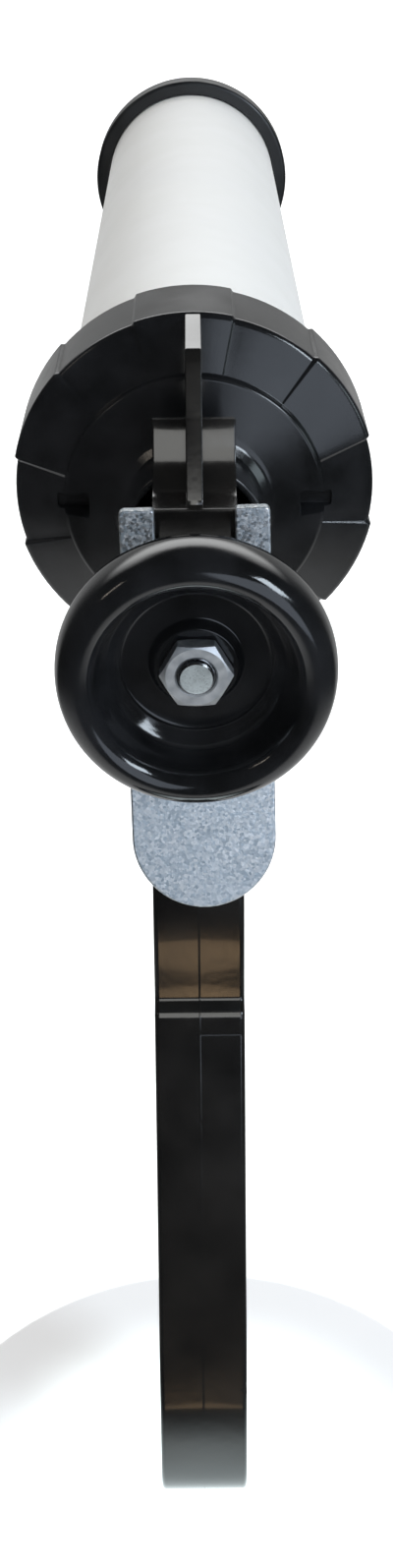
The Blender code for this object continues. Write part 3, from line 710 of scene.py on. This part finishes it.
def make_handle(edge, parting):
    grip = slab(handle_outline(), HANDLE_HALF, edge, parting, 4)
    head = slab(filleted([(-35.0, -18.0, 1.5), (-35.0, 3.5, 1.0), (-17.6, 3.5, 0.6), (-17.6, -18.0, 1.5)]),
                HEAD_HALF, 1.0)
    block = slab(block_outline(), BLOCK_HALF, 0.35, 0.0, 2)
    fin = slab(fin_outline(), FIN_HALF, 0.3, 0.0, 2)
    neck = turned_solid([(0.0, -19.0), (NECK_RADIUS, -19.0), (NECK_RADIUS, 2.0), (8.7, 2.4), (8.7, 10.5),
                         (8.3, 11.0), (0.0, 11.0)], 64)
    tongue = slab(filleted([(-34.0, 6.4, 0.0), (-41.0, 6.4, 0.5), (-41.0, 8.0, 0.5), (-34.0, 8.0, 0.0)]),
                  TONGUE_HALF, 0.4)
    start, push = rear_spring_line()
    pocket = moved(cylinder(POCKET_RADIUS, 0.0, 12.2, 32), start + push * 0.3,
                   Vector((0, 1, 0)).rotation_difference(push).to_matrix())
    channel = slab([
        (-34.2, -9.0), (-20.6, -9.0), (-20.6, -17.4), (-5.0, -17.4), (-5.0, -78.0), (-38.5, -70.0),
        (-38.0, -52.0), (-34.4, -38.0)], CHANNEL_HALF, 0.0, 0.0, 1)
    spring_room = cuboid((-7.4, -31.0, -17.6), (7.4, -20.6, 3.0))
    plate_room = cuboid((-5.0, -31.0, 0.0), (5.0, -20.6, 8.8))
    cuts = [cylinder(ROD_HOLE, -60, 40), cylinder(NECK_BORE, -22, 8, 64), spring_room, plate_room, channel,
            moved(along_x(cylinder(PIN_HOLE, -20, 20, 40)), PIVOT), pocket] + handle_marks()
    casting = shaped(grip, joins=[head, block, neck, fin, tongue], cuts=cuts)
    add_piece("cast_handle", casting, "enamel", "handle", ["handle_frame"], 30.0)


# ---------------------------------------------------------------- knob, rod, nuts and piston

ROD_REAR, ROD_FRONT = ends_of("push_rod")
SHOULDER = 266.4
ROD_RADIUS = 4.0
THREAD_RADIUS = 3.0
THREAD_DEPTH = 0.55
THREAD_PITCH = 1.0
THREAD_END = 2.7
M6_FLATS = 10.0
M6_BORE = 3.12
STACK_BORE = 3.2


def make_knob():
    """Rolled rim, a steep inner wall with a crease, and a sunk flat for the nut."""
    crest, face = ends_of("pull_knob")
    widest = from_frame("pull_knob", 1, 0) - 0.05
    rim = [(17.2, 0.0), (19.4, 0.75), (21.0, 2.5), (widest - 0.1, 4.9), (widest, 6.9), (widest - 0.25, 9.2),
           (20.9, 11.3), (19.7, 12.7), (18.2, face - crest), (16.8, 12.75), (15.8, 11.3), (15.2, 9.3),
           (14.85, 7.6), (14.1, 5.9), (13.0, 4.7), (12.0, 3.8)]
    dish = [(12.0, 3.8, 0.0), (11.75, 3.4, 0.2), (11.4, 3.3, 0.2), (7.4, 3.5, 0.5), (6.5, 5.4, 0.3),
            (6.0, 5.4, 0.0), (3.3, 5.4, 0.0)]
    rolled = [(p.x, min(p.y, face)) for p in smooth_path([(r, face - y) for r, y in rim], 7)]
    sunk = [tuple(p) for p in filleted([(r, face - y, fillet) for r, y, fillet in dish], closed=False)]
    profile = [(3.3, face)] + rolled + sunk[1:]
    add_piece("knob", turned(profile, 160), "knob_nylon", "rod", ["pull_knob"], 24.0)


def nut(flats, bore, rear, front, cone):
    """A hexagon nut whose corners are turned down to a cone at both ends, with a countersunk bore."""
    corner = flats / math.sqrt(3)
    hexagon = bmesh.new()
    rings = []
    for y in (rear, front):
        rings.append([hexagon.verts.new((corner * math.sin(angle), y, corner * math.cos(angle)))
                      for angle in (math.radians(30 + 60 * i) for i in range(6))])
    bridge_rings(hexagon, rings)
    bmesh.ops.recalc_face_normals(hexagon, faces=hexagon.faces)
    bmesh.ops.bevel(hexagon, geom=[e for e in hexagon.edges if abs(e.verts[0].co.y - e.verts[1].co.y) > 0.1],
                    offset=0.08, segments=1, affect="EDGES")
    flat_radius = flats / 2 * 0.95
    turn_down = (corner - flat_radius) * math.tan(math.radians(30))
    clear = corner + 0.4
    turn_down *= 1.25
    envelope = turned_solid([(0.0, rear), (flat_radius, rear), (clear, rear + turn_down),
                             (clear, front - turn_down), (flat_radius, front), (0.0, front)], 96)
    wide = bore + cone
    hole = turned_solid([(0.0, rear - 1), (wide + 1, rear - 1), (wide, rear), (bore, rear + cone),
                         (bore, front - cone), (wide, front), (wide + 1, front + 1), (0.0, front + 1)], 48)
    return shaped(hexagon, cuts=[hole], keep=envelope)


def make_nuts():
    for name, node, body, flats, bore, cone in (
            ("m6_nut", "knob_nut", "rod", M6_FLATS, M6_BORE, 0.25),
            ("piston_m6_nut", "piston_nut", "rod", M6_FLATS, M6_BORE, 0.45),
            ("neck_thin_nut", "neck_nut", "handle", 27.0, 9.15, 0.5)):
        rear, front = ends_of(node)
        add_piece(name, nut(flats, bore, rear, front, cone), "nut_zinc", body, [node], 20.0)


def make_rod():
    """Drawn rod with an M6 thread cut on both of its turned-down ends."""
    shoulder = from_frame("pull_knob", 1, 1) + 0.3
    eased = ROD_RADIUS - 0.3
    shank = turned_solid([
        (0.0, shoulder - 2), (THREAD_END, shoulder - 2), (THREAD_END, shoulder), (eased, shoulder),
        (ROD_RADIUS, shoulder + 0.3), (ROD_RADIUS, SHOULDER - 0.3), (eased, SHOULDER), (THREAD_END, SHOULDER),
        (THREAD_END, SHOULDER + 2), (0.0, SHOULDER + 2)], 64)
    thread = (THREAD_RADIUS, THREAD_DEPTH, THREAD_PITCH)
    rear = threaded(*thread, ROD_REAR + 0.35, shoulder - 0.5)
    rear_end = turned_solid([(0.0, ROD_REAR), (2.5, ROD_REAR), (2.75, ROD_REAR + 0.3), (2.75, ROD_REAR + 2),
                             (0.0, ROD_REAR + 2)], 48)
    front = threaded(*thread, SHOULDER + 0.5, ROD_FRONT - 0.35)
    front_end = turned_solid([(0.0, ROD_FRONT - 2), (2.5, ROD_FRONT - 2), (2.5, ROD_FRONT - 0.45),
                              (2.15, ROD_FRONT), (0.0, ROD_FRONT)], 48)
    rod = shaped(shank, joins=[rear, front, rear_end, front_end])
    add_piece("rod", rod, "steel", "rod", ["push_rod"], 38.0)


def make_piston():
    """The stack on the rod's front end, and the washer on the neck, as (radius, y, fillet) outlines."""
    bore = STACK_BORE
    nylon = ("satin_nylon", "rod", "black_moulding", 28.0)
    for name, node, (finish, body, slot, angle), outline in (
            ("piston_washer_turned", "piston_washer", ("nut_zinc", "rod", "zinc_plate", 28.0),
             [(bore, 0, 0.1), (9.0, 0, 0.3), (9.0, 1.5, 0.3), (bore, 1.5, 0.1)]),
            ("piston_rear_disc_turned", "piston_rear_disc", nylon,
             [(bore, 0, 0.1), (12.0, 0, 0.5), (12.6, 0.6, 0.3), (21.0, 0.6, 0.3), (21.4, 0, 0.3),
              (22.5, 0, 0.7), (22.5, 3.0, 0.7), (bore, 3.0, 0.1)]),
            ("piston_seal_turned", "piston_seal", ("rubber", "rod", "black_rubber", 28.0),
             [(bore, 0, 0.1), (23.6, 0, 1.0), (25.0, 2.0, 1.5), (25.25, 8.0, 0.4), (23.6, 8.0, 0.6),
              (22.9, 3.2, 0.5), (bore, 3.2, 0.1)]),
            ("piston_front_disc_turned", "piston_front_disc", nylon,
             [(bore, 0, 0.1), (22.0, 0, 0.4), (22.2, 3.5, 1.0), (20.8, 5.5, 1.5), (8.6, 6.5, 1.2),
              (bore, 6.5, 0.1)]),
            ("neck_flat_washer", "neck_washer", ("nut_zinc", "handle", "zinc_plate", 32.0),
             [(NECK_HOLE, 0, 0.1), (15.0, 0, 0.25), (15.0, 0.8, 0.25), (NECK_HOLE, 0.8, 0.1)])):
        rear = from_frame(node, 0, 1)
        profile = [(p.x, p.y + rear) for p in filleted(outline)]
        add_piece(name, turned(profile, 96), finish, body, [node], angle)


# ---------------------------------------------------------------- trigger, plates and springs

def rounded_section(half_width, half_height, radius, steps=4):
    """Corner points of a rounded rectangle, as (across, through)."""
    points = []
    for k, (sx, sy) in enumerate(((1, 1), (-1, 1), (-1, -1), (1, -1))):
        for i in range(steps + 1):
            angle = math.pi / 2 * (k + i / steps)
            points.append((sx * (half_width - radius) + radius * math.cos(angle),
                           sy * (half_height - radius) + radius * math.sin(angle)))
    return points


def swept_bar(points, half_width, edge):
    """A rounded bar that follows (y, z, half thickness) points, with rounded ends."""
    curve = smooth_path(points, 8)
    last = len(curve) - 1
    stations = [(0, edge * (1 - math.cos(math.pi / 8 * k)), edge * (1 - math.sin(math.pi / 8 * k)))
                for k in range(4)]
    stations += [(i, 0.0, 0.0) for i in range(1, last)]
    stations += [(last, -edge * (1 - math.cos(math.pi / 8 * k)), edge * (1 - math.sin(math.pi / 8 * k)))
                 for k in reversed(range(4))]
    bm = bmesh.new()
    rings = []
    for i, slide, inset in stations:
        ahead = curve[min(i + 1, last)]
        behind = curve[max(i - 1, 0)]
        run = Vector((0, ahead.x - behind.x, ahead.y - behind.y)).normalized()
        through = Vector((0, -run.z, run.y))
        half = curve[i].z
        middle = Vector((0, curve[i].x, curve[i].y)) + run * slide
        rings.append([bm.verts.new(middle + Vector((a, 0, 0)) + through * b) for a, b in
                      rounded_section(half_width - inset, half - inset, max(edge - inset, 0.12))])
    bridge_rings(bm, rings)
    return bm


def make_trigger(edge):
    blade = filleted([(-33.6, -26.0, 2.0), (-33.4, -18.0, 3.0), (-33.1, -13.0, 1.0), (-31.2, -13.0, 0.7),
                      (-31.1, -17.6, 1.0), (-25.6, -19.8, 3.0), (-23.2, -23.0, 6.0), (-19.0, -34.0, 6.0),
                      (-9.4, -46.8, 0.0), (-16.0, -56.4, 0.0), (-22.0, -46.0, 10.0), (-29.0, -31.0, 8.0)])
    bow = swept_bar([(-12.2, -47.4, 3.4), (-7.2, -58.0, 3.9), (-1.6, -72.0, 3.9), (2.8, -88.0, 3.8),
                     (6.4, -102.0, 3.6), (10.4, -113.0, 3.2), (14.6, -119.0, 2.0)], 7.0, edge)
    hub = moved(along_x(cylinder(5.6, -5.2, 5.2, 56)), PIVOT)
    lever = shaped(slab(blade, 5.2, 0.4, 0.0, 3), joins=[bow, hub],
                   cuts=[moved(along_x(cylinder(PIN_HOLE, -20, 20, 40)), PIVOT)])
    add_piece("trigger_lever", lever, "enamel", "trigger", ["trigger"], 30.0)


def make_pin():
    head = 8.55
    profile = [(0.0, -10.3), (2.0, -10.3), (2.4, -9.9), (2.4, head)]
    profile += [tuple(p) for p in filleted([(2.4, head, 0.0), (4.0, head, 0.15), (4.0, head + 1.0, 0.6),
                                            (2.6, head + 1.5, 1.2), (0.0, head + 1.5, 0.0)], closed=False)]
    add_piece("headed_pin", moved(along_x(turned_solid(profile, 48)), PIVOT), "nut_zinc", "handle",
              ["trigger_pin"])
    clip = filleted([(PIN_HOLE, -head - 0.9, 0.1), (4.6, -head - 0.9, 0.2), (4.6, -head, 0.2),
                     (PIN_HOLE, -head, 0.1)])
    ring = moved(along_x(turned([tuple(p) for p in clip], 48)), PIVOT)
    mouth = cuboid((-12, PIVOT.y - 1.6, PIVOT.z - 8), (-6, PIVOT.y + 1.6, PIVOT.z))
    add_piece("spring_clip", shaped(ring, cuts=[mouth]), "spring_steel", "handle", ["trigger_pin_clip"])


def plate_place(x, distance, through):
    """Where a point of the flat release plate goes once the blank is bent."""
    bend = 6.0
    share = min(max(distance / bend + 0.5, 0.0), 1.0)
    lean = UPPER_LEAN + (LOWER_LEAN - UPPER_LEAN) * share
    up = Vector((math.sin(UPPER_LEAN), math.cos(UPPER_LEAN)))
    down = -Vector((math.sin(LOWER_LEAN), math.cos(LOWER_LEAN)))
    if distance <= -bend / 2:
        y, z = PLATE_BEND - up * distance
    elif distance >= bend / 2:
        y, z = PLATE_BEND + down * distance
    else:
        start = PLATE_BEND + up * (bend / 2)
        end = PLATE_BEND + down * (bend / 2)
        y, z = start * (1 - share) ** 2 + 2 * PLATE_BEND * share * (1 - share) + end * share ** 2
    return Vector((x, y + through * math.cos(lean), z - through * math.sin(lean)))


def make_release_plate(edge):
    """Pressed plate: blanked flat with soft edges, pierced for the rod, then bent."""
    top = 27.1 / math.cos(UPPER_LEAN)
    shoulder = top - 7.1 / math.cos(UPPER_LEAN)
    wing = 12.7
    gap = 6.8
    tab = 12.5
    centre = 43.3 - tab
    outline = [(-wing, 0.0, 0.0), (-wing, -top, 0.9), (-gap, -top, 0.5), (-gap, -shoulder, 0.9),
               (gap, -shoulder, 0.9), (gap, -top, 0.5), (wing, -top, 0.9), (wing, 0.0, 0.0)]
    points = filleted(outline) + [Vector(p) for p in arc_points((0.0, centre), tab, 0, 180, 40)]
    blank = slab(points, 1.3, edge, 0.0, 3)
    hole = moved(cylinder(4.55, -5, 5, 48), (0, 0, 0), Matrix.Rotation(math.pi / 2, 3, "Z"))
    moved(hole, (0.0, 0.0, -14.0 / math.cos(UPPER_LEAN)))
    blank = shaped(blank, cuts=[hole])
    for i in range(9):
        at = -3.5 + 7.0 * i / 8
        bmesh.ops.bisect_plane(blank, geom=blank.verts[:] + blank.edges[:] + blank.faces[:],
                               plane_co=(0, 0, at), plane_no=(0, 0, 1))
    for vert in blank.verts:
        through, x, distance = vert.co
        vert.co = plate_place(x, distance, through)
    pivot = Vector((0, -37.1, 9.0))
    skew = Matrix.Translation(pivot) @ Matrix.Rotation(PLATE_SKEW, 4, "Y") @ Matrix.Translation(-pivot)
    add_piece("thumb_plate", blank, "zinc", "release_plate", ["release_plate"], 30.0, skew)


def spring_coil(start, end, radius, wire, turns, per_turn=28, sides=12):
    """Round wire wound from start to end, with its first and last turns closed up."""
    bm = bmesh.new()
    axis = (end - start).normalized()
    side = Vector((1, 0, 0))
    up = axis.cross(side)
    length = (end - start).length
    total = turns * per_turn
    places = []
    for i in range(total + 1):
        turn = i / per_turn
        open_turn = min(max(turn - 1, 0), turns - 2) / (turns - 2)
        closed = min(turn, 1) + max(turn - (turns - 1), 0)
        rise = wire * (1 + closed * 1.05) + open_turn * (length - 2 * wire - 2.1 * wire)
        angle = math.tau * turn
        places.append(start + axis * rise + radius * (math.cos(angle) * side + math.sin(angle) * up))
    rings = []
    for i, place in enumerate(places):
        run = (places[min(i + 1, total)] - places[max(i - 1, 0)]).normalized()
        out = run.cross(axis).normalized()
        over = run.cross(out)
        rings.append([bm.verts.new(place + wire * (math.cos(math.tau * j / sides) * out
                                                   + math.sin(math.tau * j / sides) * over))
                      for j in range(sides)])
    bridge_rings(bm, rings)
    return bm


def make_mechanism():
    """Springs wound afresh; the drive plates keep their CAD shape and get eased edges."""
    coil = spring_coil(Vector((0, -25.7, 0)), Vector((0, 7.7, 0)), 5.3, 0.6, 9)
    add_piece("drive_coil", coil, "spring_steel", "handle", ["drive_spring"], 60.0)
    start, push = rear_spring_line()
    coil = spring_coil(start, start + push * 12.5, 2.5, 0.4, 7)
    add_piece("release_coil", coil, "spring_steel", "handle", ["release_spring"], 60.0)
    for node in ("drive_plate_front", "drive_plate_rear"):
        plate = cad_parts[node]
        plate.data.materials.clear()
        plate.data.materials.append(finish_named("hard_steel"))
        ease = plate.modifiers.new("eased_edges", "BEVEL")
        ease.width = 0.2 * MM
        ease.segments = 2
        ease.limit_method = "ANGLE"
        ease.angle_limit = math.radians(50)


# ---------------------------------------------------------------- studio

def make_floor():
    """A sheet of white paper under the gun, large enough to reach past every view."""
    bm = bmesh.new()
    bmesh.ops.create_grid(bm, x_segments=8, y_segments=8, size=30.0)
    bmesh.ops.translate(bm, verts=bm.verts, vec=(0, 0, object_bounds()[0][2] - 0.0005))
    mesh = bpy.data.meshes.new("floor")
    bm.to_mesh(mesh)
    bm.free()
    mesh.materials.append(finish_named("paper"))
    floor = bpy.data.objects.new("floor", mesh)
    bpy.context.collection.objects.link(floor)
    floor.visible_glossy = False
    floor.visible_shadow = False
    floor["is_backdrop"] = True


def make_toe_card():
    """A small lit card on the paper under the handle's toe, which the toe's gloss mirrors."""
    bm = bmesh.new()
    bmesh.ops.create_circle(bm, cap_ends=True, segments=64, radius=0.06)
    for face in bm.faces:
        if face.normal.z < 0:
            face.normal_flip()
    mesh = bpy.data.meshes.new("toe_card")
    bm.to_mesh(mesh)
    bm.free()
    mesh.materials.append(finish_named("lit_card"))
    card = bpy.data.objects.new("toe_card", mesh)
    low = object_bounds()[0]
    card.location = (0.0, HUB.y + (HEEL - 1.0) * MM, low[2] - 0.0003)
    card.visible_camera = False
    card.visible_shadow = False
    bpy.context.collection.objects.link(card)
    card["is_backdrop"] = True


def make_camera(pitch, roll, back, up, side):
    """A camera behind and above the knob that looks down along the barrel."""
    camera = bpy.data.objects.new("camera", bpy.data.cameras.new("camera"))
    data = camera.data
    data.sensor_fit = "VERTICAL"
    data.sensor_height = 36.0
    data.lens = 40.63
    data.shift_y = -0.0611
    data.clip_start = 0.01
    data.clip_end = 100.0
    place = HUB + Vector((side, -back, up)) * MM
    camera.matrix_world = (Matrix.Translation(place) @ Matrix.Rotation(math.radians(90.0 - pitch), 4, "X")
                           @ Matrix.Rotation(math.radians(roll), 4, "Z"))
    bpy.context.collection.objects.link(camera)
    bpy.context.scene.camera = camera


def make_world(front, sky, under, room):
    """Light by direction: white paper ahead, a bright sky over it, pale floor below, a dim room behind."""
    world = bpy.data.worlds.new("studio")
    world.use_nodes = True
    tree = world.node_tree
    tree.nodes.clear()
    way = add_node(tree, "ShaderNodeTexCoord").outputs["Generated"]
    parts = add_node(tree, "ShaderNodeSeparateXYZ", {0: way})

    def ramp(value, start, end, low, high):
        return add_node(tree, "ShaderNodeMapRange", {"Value": value, "From Min": start, "From Max": end,
                                                     "To Min": low, "To Max": high},
                        interpolation_type="SMOOTHSTEP").outputs[0]

    def times(first, second):
        return add_node(tree, "ShaderNodeMath", {0: first, 1: second}, operation="MULTIPLY").outputs[0]

    def plus(first, second):
        return add_node(tree, "ShaderNodeMath", {0: first, 1: second}, operation="ADD").outputs[0]

    sideways = add_node(tree, "ShaderNodeMath", {0: parts.outputs["X"]}, operation="ABSOLUTE").outputs[0]
    ahead = times(ramp(parts.outputs["Y"], 0.5, 0.82, 0.0, 1.0), ramp(sideways, 0.45, 0.8, 1.0, 0.15))
    high = times(ramp(parts.outputs["Z"], 0.3, 0.45, front, sky),
                 ramp(parts.outputs["Z"], 0.55, 0.72, 1.0, 0.0))
    below = times(ramp(parts.outputs["Z"], -0.85, -0.4, under, 0.0),
                  ramp(parts.outputs["Y"], -0.98, -0.6, 0.0, 1.0))
    level = plus(plus(times(ahead, high), below), room)
    shade = linear("F7F8F8")
    background = add_node(tree, "ShaderNodeBackground", {"Color": shade, "Strength": level})
    add_node(tree, "ShaderNodeOutputWorld", {"Surface": background.outputs[0]})
    bpy.context.scene.world = world


def light_only(light, names):
    """Flag a light so that it reaches the named pieces alone."""
    lit = bpy.data.collections.new(light.name + "_lit")
    for name in names:
        lit.objects.link(bpy.data.objects[name])
    light.light_linking.receiver_collection = lit


def make_softbox(name, azimuth, elevation, distance, width, height, radiance, color, names=()):
    """A rectangular light aimed at the knob, placed by degrees to the right of behind and above level."""
    across = math.radians(azimuth)
    rise = math.radians(elevation)
    aim = HUB + Vector((0, -0.06, 0))
    way = Vector((math.sin(across) * math.cos(rise), -math.cos(across) * math.cos(rise), math.sin(rise)))
    light = bpy.data.lights.new(name, "AREA")
    light.shape = "RECTANGLE"
    light.size = width
    light.size_y = height
    light.energy = radiance * math.pi * width * height
    light.color = linear(color)[:3]
    made = bpy.data.objects.new(name, light)
    made.location = aim + way * distance
    made.rotation_euler = (-way).to_track_quat("-Z", "Y").to_euler()
    made.visible_camera = False
    bpy.context.collection.objects.link(made)
    if names:
        light_only(made, names)


def make_sun(name, elevation, spread_degrees, strength, color):
    """A distant light straight behind the gun, given by its height above level and its width."""
    light = bpy.data.lights.new(name, "SUN")
    light.energy = strength
    light.angle = math.radians(spread_degrees)
    light.color = linear(color)[:3]
    made = bpy.data.objects.new(name, light)
    rise = math.radians(elevation)
    made.rotation_euler = Vector((0, math.cos(rise), -math.sin(rise))).to_track_quat("-Z", "Y").to_euler()
    made.visible_camera = False
    bpy.context.collection.objects.link(made)
    return made


# ---------------------------------------------------------------- settings, operators and panel

def number(label, description, value, low, high):
    return bpy.props.FloatProperty(name=label, description=description, default=value, min=low, max=high)


class GunSizes(bpy.types.PropertyGroup):
    """Small sizes of the pieces that a user may vary, in millimetres."""
    tube_wall: number("Tube wall", "Thickness of the barrel's wall", 1.5, 0.6, 3.0)
    mouth: number("Mouth radius", "Radius of the front cap's opening", 20.0, 10.0, 24.0)
    grip_step: number("Grip step", "How far the cap's lobes stand out", 0.6, 0.2, 2.0)
    face_step: number("Face step", "How far the lobes stand behind the face", 0.6, 0.2, 2.0)
    handle_edge: number("Handle edge", "Rounding of the handle's edges", 0.9, 0.3, 3.0)
    parting_line: number("Parting line", "Height of the mould's parting line", 0.06, 0.0, 0.2)
    trigger_edge: number("Trigger edge", "Rounding of the trigger's bow", 1.2, 0.3, 1.8)
    plate_edge: number("Plate edge", "Rounding of the release plate's edge", 0.35, 0.1, 0.6)


class StudioSettings(bpy.types.PropertyGroup):
    """Where the camera stands and how the studio is lit."""
    pitch: number("Camera pitch", "Degrees that the camera looks down", 27.7, 0.0, 90.0)
    roll: number("Camera roll", "Degrees that the camera leans", -0.58, -10.0, 10.0)
    back: number("Camera back", "Millimetres behind the rear cap", 313.0, 50.0, 2000.0)
    up: number("Camera up", "Millimetres above the barrel's axis", 124.0, -500.0, 2000.0)
    side: number("Camera side", "Millimetres to the right of the axis", 0.0, -500.0, 500.0)
    front_light: number("Paper light", "Brightness of the paper ahead", 0.4, 0.0, 10.0)
    sky_light: number("Sky light", "Brightness above the paper", 3.4, 0.0, 10.0)
    under_light: number("Floor light", "Brightness of the floor in gloss", 1.0, 0.0, 10.0)
    room_light: number("Room light", "Brightness of the room behind", 0.04, 0.0, 10.0)
    window: number("Window", "Radiance of the large window at the right", 1.7, 0.0, 50.0)
    key: number("Key", "Radiance of the small softbox at the upper right", 14.0, 0.0, 100.0)
    strip: number("Strip", "Radiance of the strip light at the upper left", 6.0, 0.0, 100.0)
    high_window: number("High window", "Radiance of the light on the handle's top", 3.0, 0.0, 100.0)
    side_window: number("Side window", "Radiance of the light beside the cap", 3.0, 0.0, 100.0)
    plate_window: number("Plate window", "Radiance of the light on the plate", 0.95, 0.0, 100.0)
    low_lamp: number("Low lamp", "Strength of the light on the rod's end", 0.16, 0.0, 5.0)
    table: number("Table", "Strength of the warm light off a table behind", 0.045, 0.0, 5.0)
    overhead: number("Overhead", "Strength of the even light from above", 1.85, 0.0, 20.0)


class GUN_OT_barrel(bpy.types.Operator):
    """Build the enamelled barrel tube"""
    bl_idname = "gun.barrel"
    bl_label = "Barrel"

    def execute(self, context):
        make_barrel(context.scene.gun_sizes.tube_wall)
        return {"FINISHED"}


class GUN_OT_front_cap(bpy.types.Operator):
    """Build the moulded ring over the mouth"""
    bl_idname = "gun.front_cap"
    bl_label = "Front cap"

    def execute(self, context):
        make_front_cap(context.scene.gun_sizes.mouth)
        return {"FINISHED"}


class GUN_OT_rear_cap(bpy.types.Operator):
    """Build the lobed screw cap with its collar"""
    bl_idname = "gun.rear_cap"
    bl_label = "Rear cap"

    def execute(self, context):
        sizes = context.scene.gun_sizes
        make_rear_cap(sizes.grip_step, sizes.face_step)
        return {"FINISHED"}


class GUN_OT_handle(bpy.types.Operator):
    """Build the cast frame with its fin, neck and handle"""
    bl_idname = "gun.handle"
    bl_label = "Handle"

    def execute(self, context):
        sizes = context.scene.gun_sizes
        make_handle(sizes.handle_edge, sizes.parting_line)
        return {"FINISHED"}


class GUN_OT_knob(bpy.types.Operator):
    """Build the dished pull knob"""
    bl_idname = "gun.knob"
    bl_label = "Pull knob"

    def execute(self, context):
        make_knob()
        return {"FINISHED"}


class GUN_OT_rod(bpy.types.Operator):
    """Build the threaded rod, the nuts and the piston"""
    bl_idname = "gun.rod"
    bl_label = "Rod, nuts and piston"

    def execute(self, context):
        make_rod()
        make_nuts()
        make_piston()
        return {"FINISHED"}


class GUN_OT_trigger(bpy.types.Operator):
    """Build the trigger, its pin and clip"""
    bl_idname = "gun.trigger"
    bl_label = "Trigger"

    def execute(self, context):
        make_trigger(context.scene.gun_sizes.trigger_edge)
        make_pin()
        return {"FINISHED"}


class GUN_OT_release_plate(bpy.types.Operator):
    """Build the bent, zinc-plated release plate"""
    bl_idname = "gun.release_plate"
    bl_label = "Release plate"

    def execute(self, context):
        make_release_plate(context.scene.gun_sizes.plate_edge)
        return {"FINISHED"}


class GUN_OT_mechanism(bpy.types.Operator):
    """Wind the springs and finish the drive plates"""
    bl_idname = "gun.mechanism"
    bl_label = "Springs and drive plates"

    def execute(self, context):
        make_mechanism()
        return {"FINISHED"}


class GUN_OT_stage(bpy.types.Operator):
    """Lay the floor, hang the lights and set up the camera"""
    bl_idname = "gun.stage"
    bl_label = "Studio"

    def execute(self, context):
        studio = context.scene.gun_studio
        make_floor()
        make_camera(studio.pitch, studio.roll, studio.back, studio.up, studio.side)
        make_world(studio.front_light, studio.sky_light, studio.under_light, studio.room_light)
        make_toe_card()
        make_softbox("window", 30.0, 14.0, 1.4, 1.2, 1.1, studio.window, "E2EEFF")
        make_softbox("key", 64.0, 37.0, 1.2, 0.34, 0.42, studio.key, "E6F3FF")
        make_softbox("strip", -76.0, 36.0, 1.2, 0.05, 0.3, studio.strip, "FFF2E2")
        make_softbox("high_window", 0.0, 35.0, 0.18, 0.09, 0.26, studio.high_window, "F2F2EE",
                     ["cast_handle"])
        make_softbox("side_window", 84.0, 12.0, 1.3, 0.4, 0.4, studio.side_window, "DCEEF6", ["grip_cap"])
        make_softbox("plate_window", -8.0, 14.0, 1.2, 0.5, 0.4, studio.plate_window, "E4F1FF",
                     ["thumb_plate"])
        light_only(make_sun("low_lamp", -27.0, 24.0, studio.low_lamp, "E2F0F4"), ["rod"])
        light_only(make_sun("table", -21.5, 6.6, studio.table, "E2BE93"), ["cast_handle"])
        overhead = make_sun("overhead", 78.0, 100.0, studio.overhead, "FFFFFF")
        overhead.visible_glossy = False
        context.scene.view_settings.view_transform = "Standard"
        return {"FINISHED"}


STEPS = (GUN_OT_barrel, GUN_OT_front_cap, GUN_OT_rear_cap, GUN_OT_handle, GUN_OT_knob, GUN_OT_rod,
         GUN_OT_trigger, GUN_OT_release_plate, GUN_OT_mechanism, GUN_OT_stage)


class GUN_PT_panel(bpy.types.Panel):
    """Lists the build steps and their settings"""
    bl_label = "Caulking gun"
    bl_idname = "GUN_PT_panel"
    bl_space_type = "VIEW_3D"
    bl_region_type = "UI"
    bl_category = "Caulking gun"

    def draw(self, context):
        for group in (context.scene.gun_sizes, context.scene.gun_studio):
            column = self.layout.column(align=True)
            for name in group.__annotations__:
                column.prop(group, name)
        for step in STEPS:
            self.layout.operator(step.bl_idname)


CLASSES = (GunSizes, StudioSettings) + STEPS + (GUN_PT_panel,)


def register():
    for made in CLASSES:
        bpy.utils.register_class(made)
    bpy.types.Scene.gun_sizes = bpy.props.PointerProperty(type=GunSizes)
    bpy.types.Scene.gun_studio = bpy.props.PointerProperty(type=StudioSettings)


def unregister():
    del bpy.types.Scene.gun_sizes
    del bpy.types.Scene.gun_studio
    for made in reversed(CLASSES):
        bpy.utils.unregister_class(made)


def main():
    register()
    for step in STEPS:
        group, name = step.bl_idname.split(".")
        getattr(getattr(bpy.ops, group), name)()


if __name__ == "__main__":
    main()
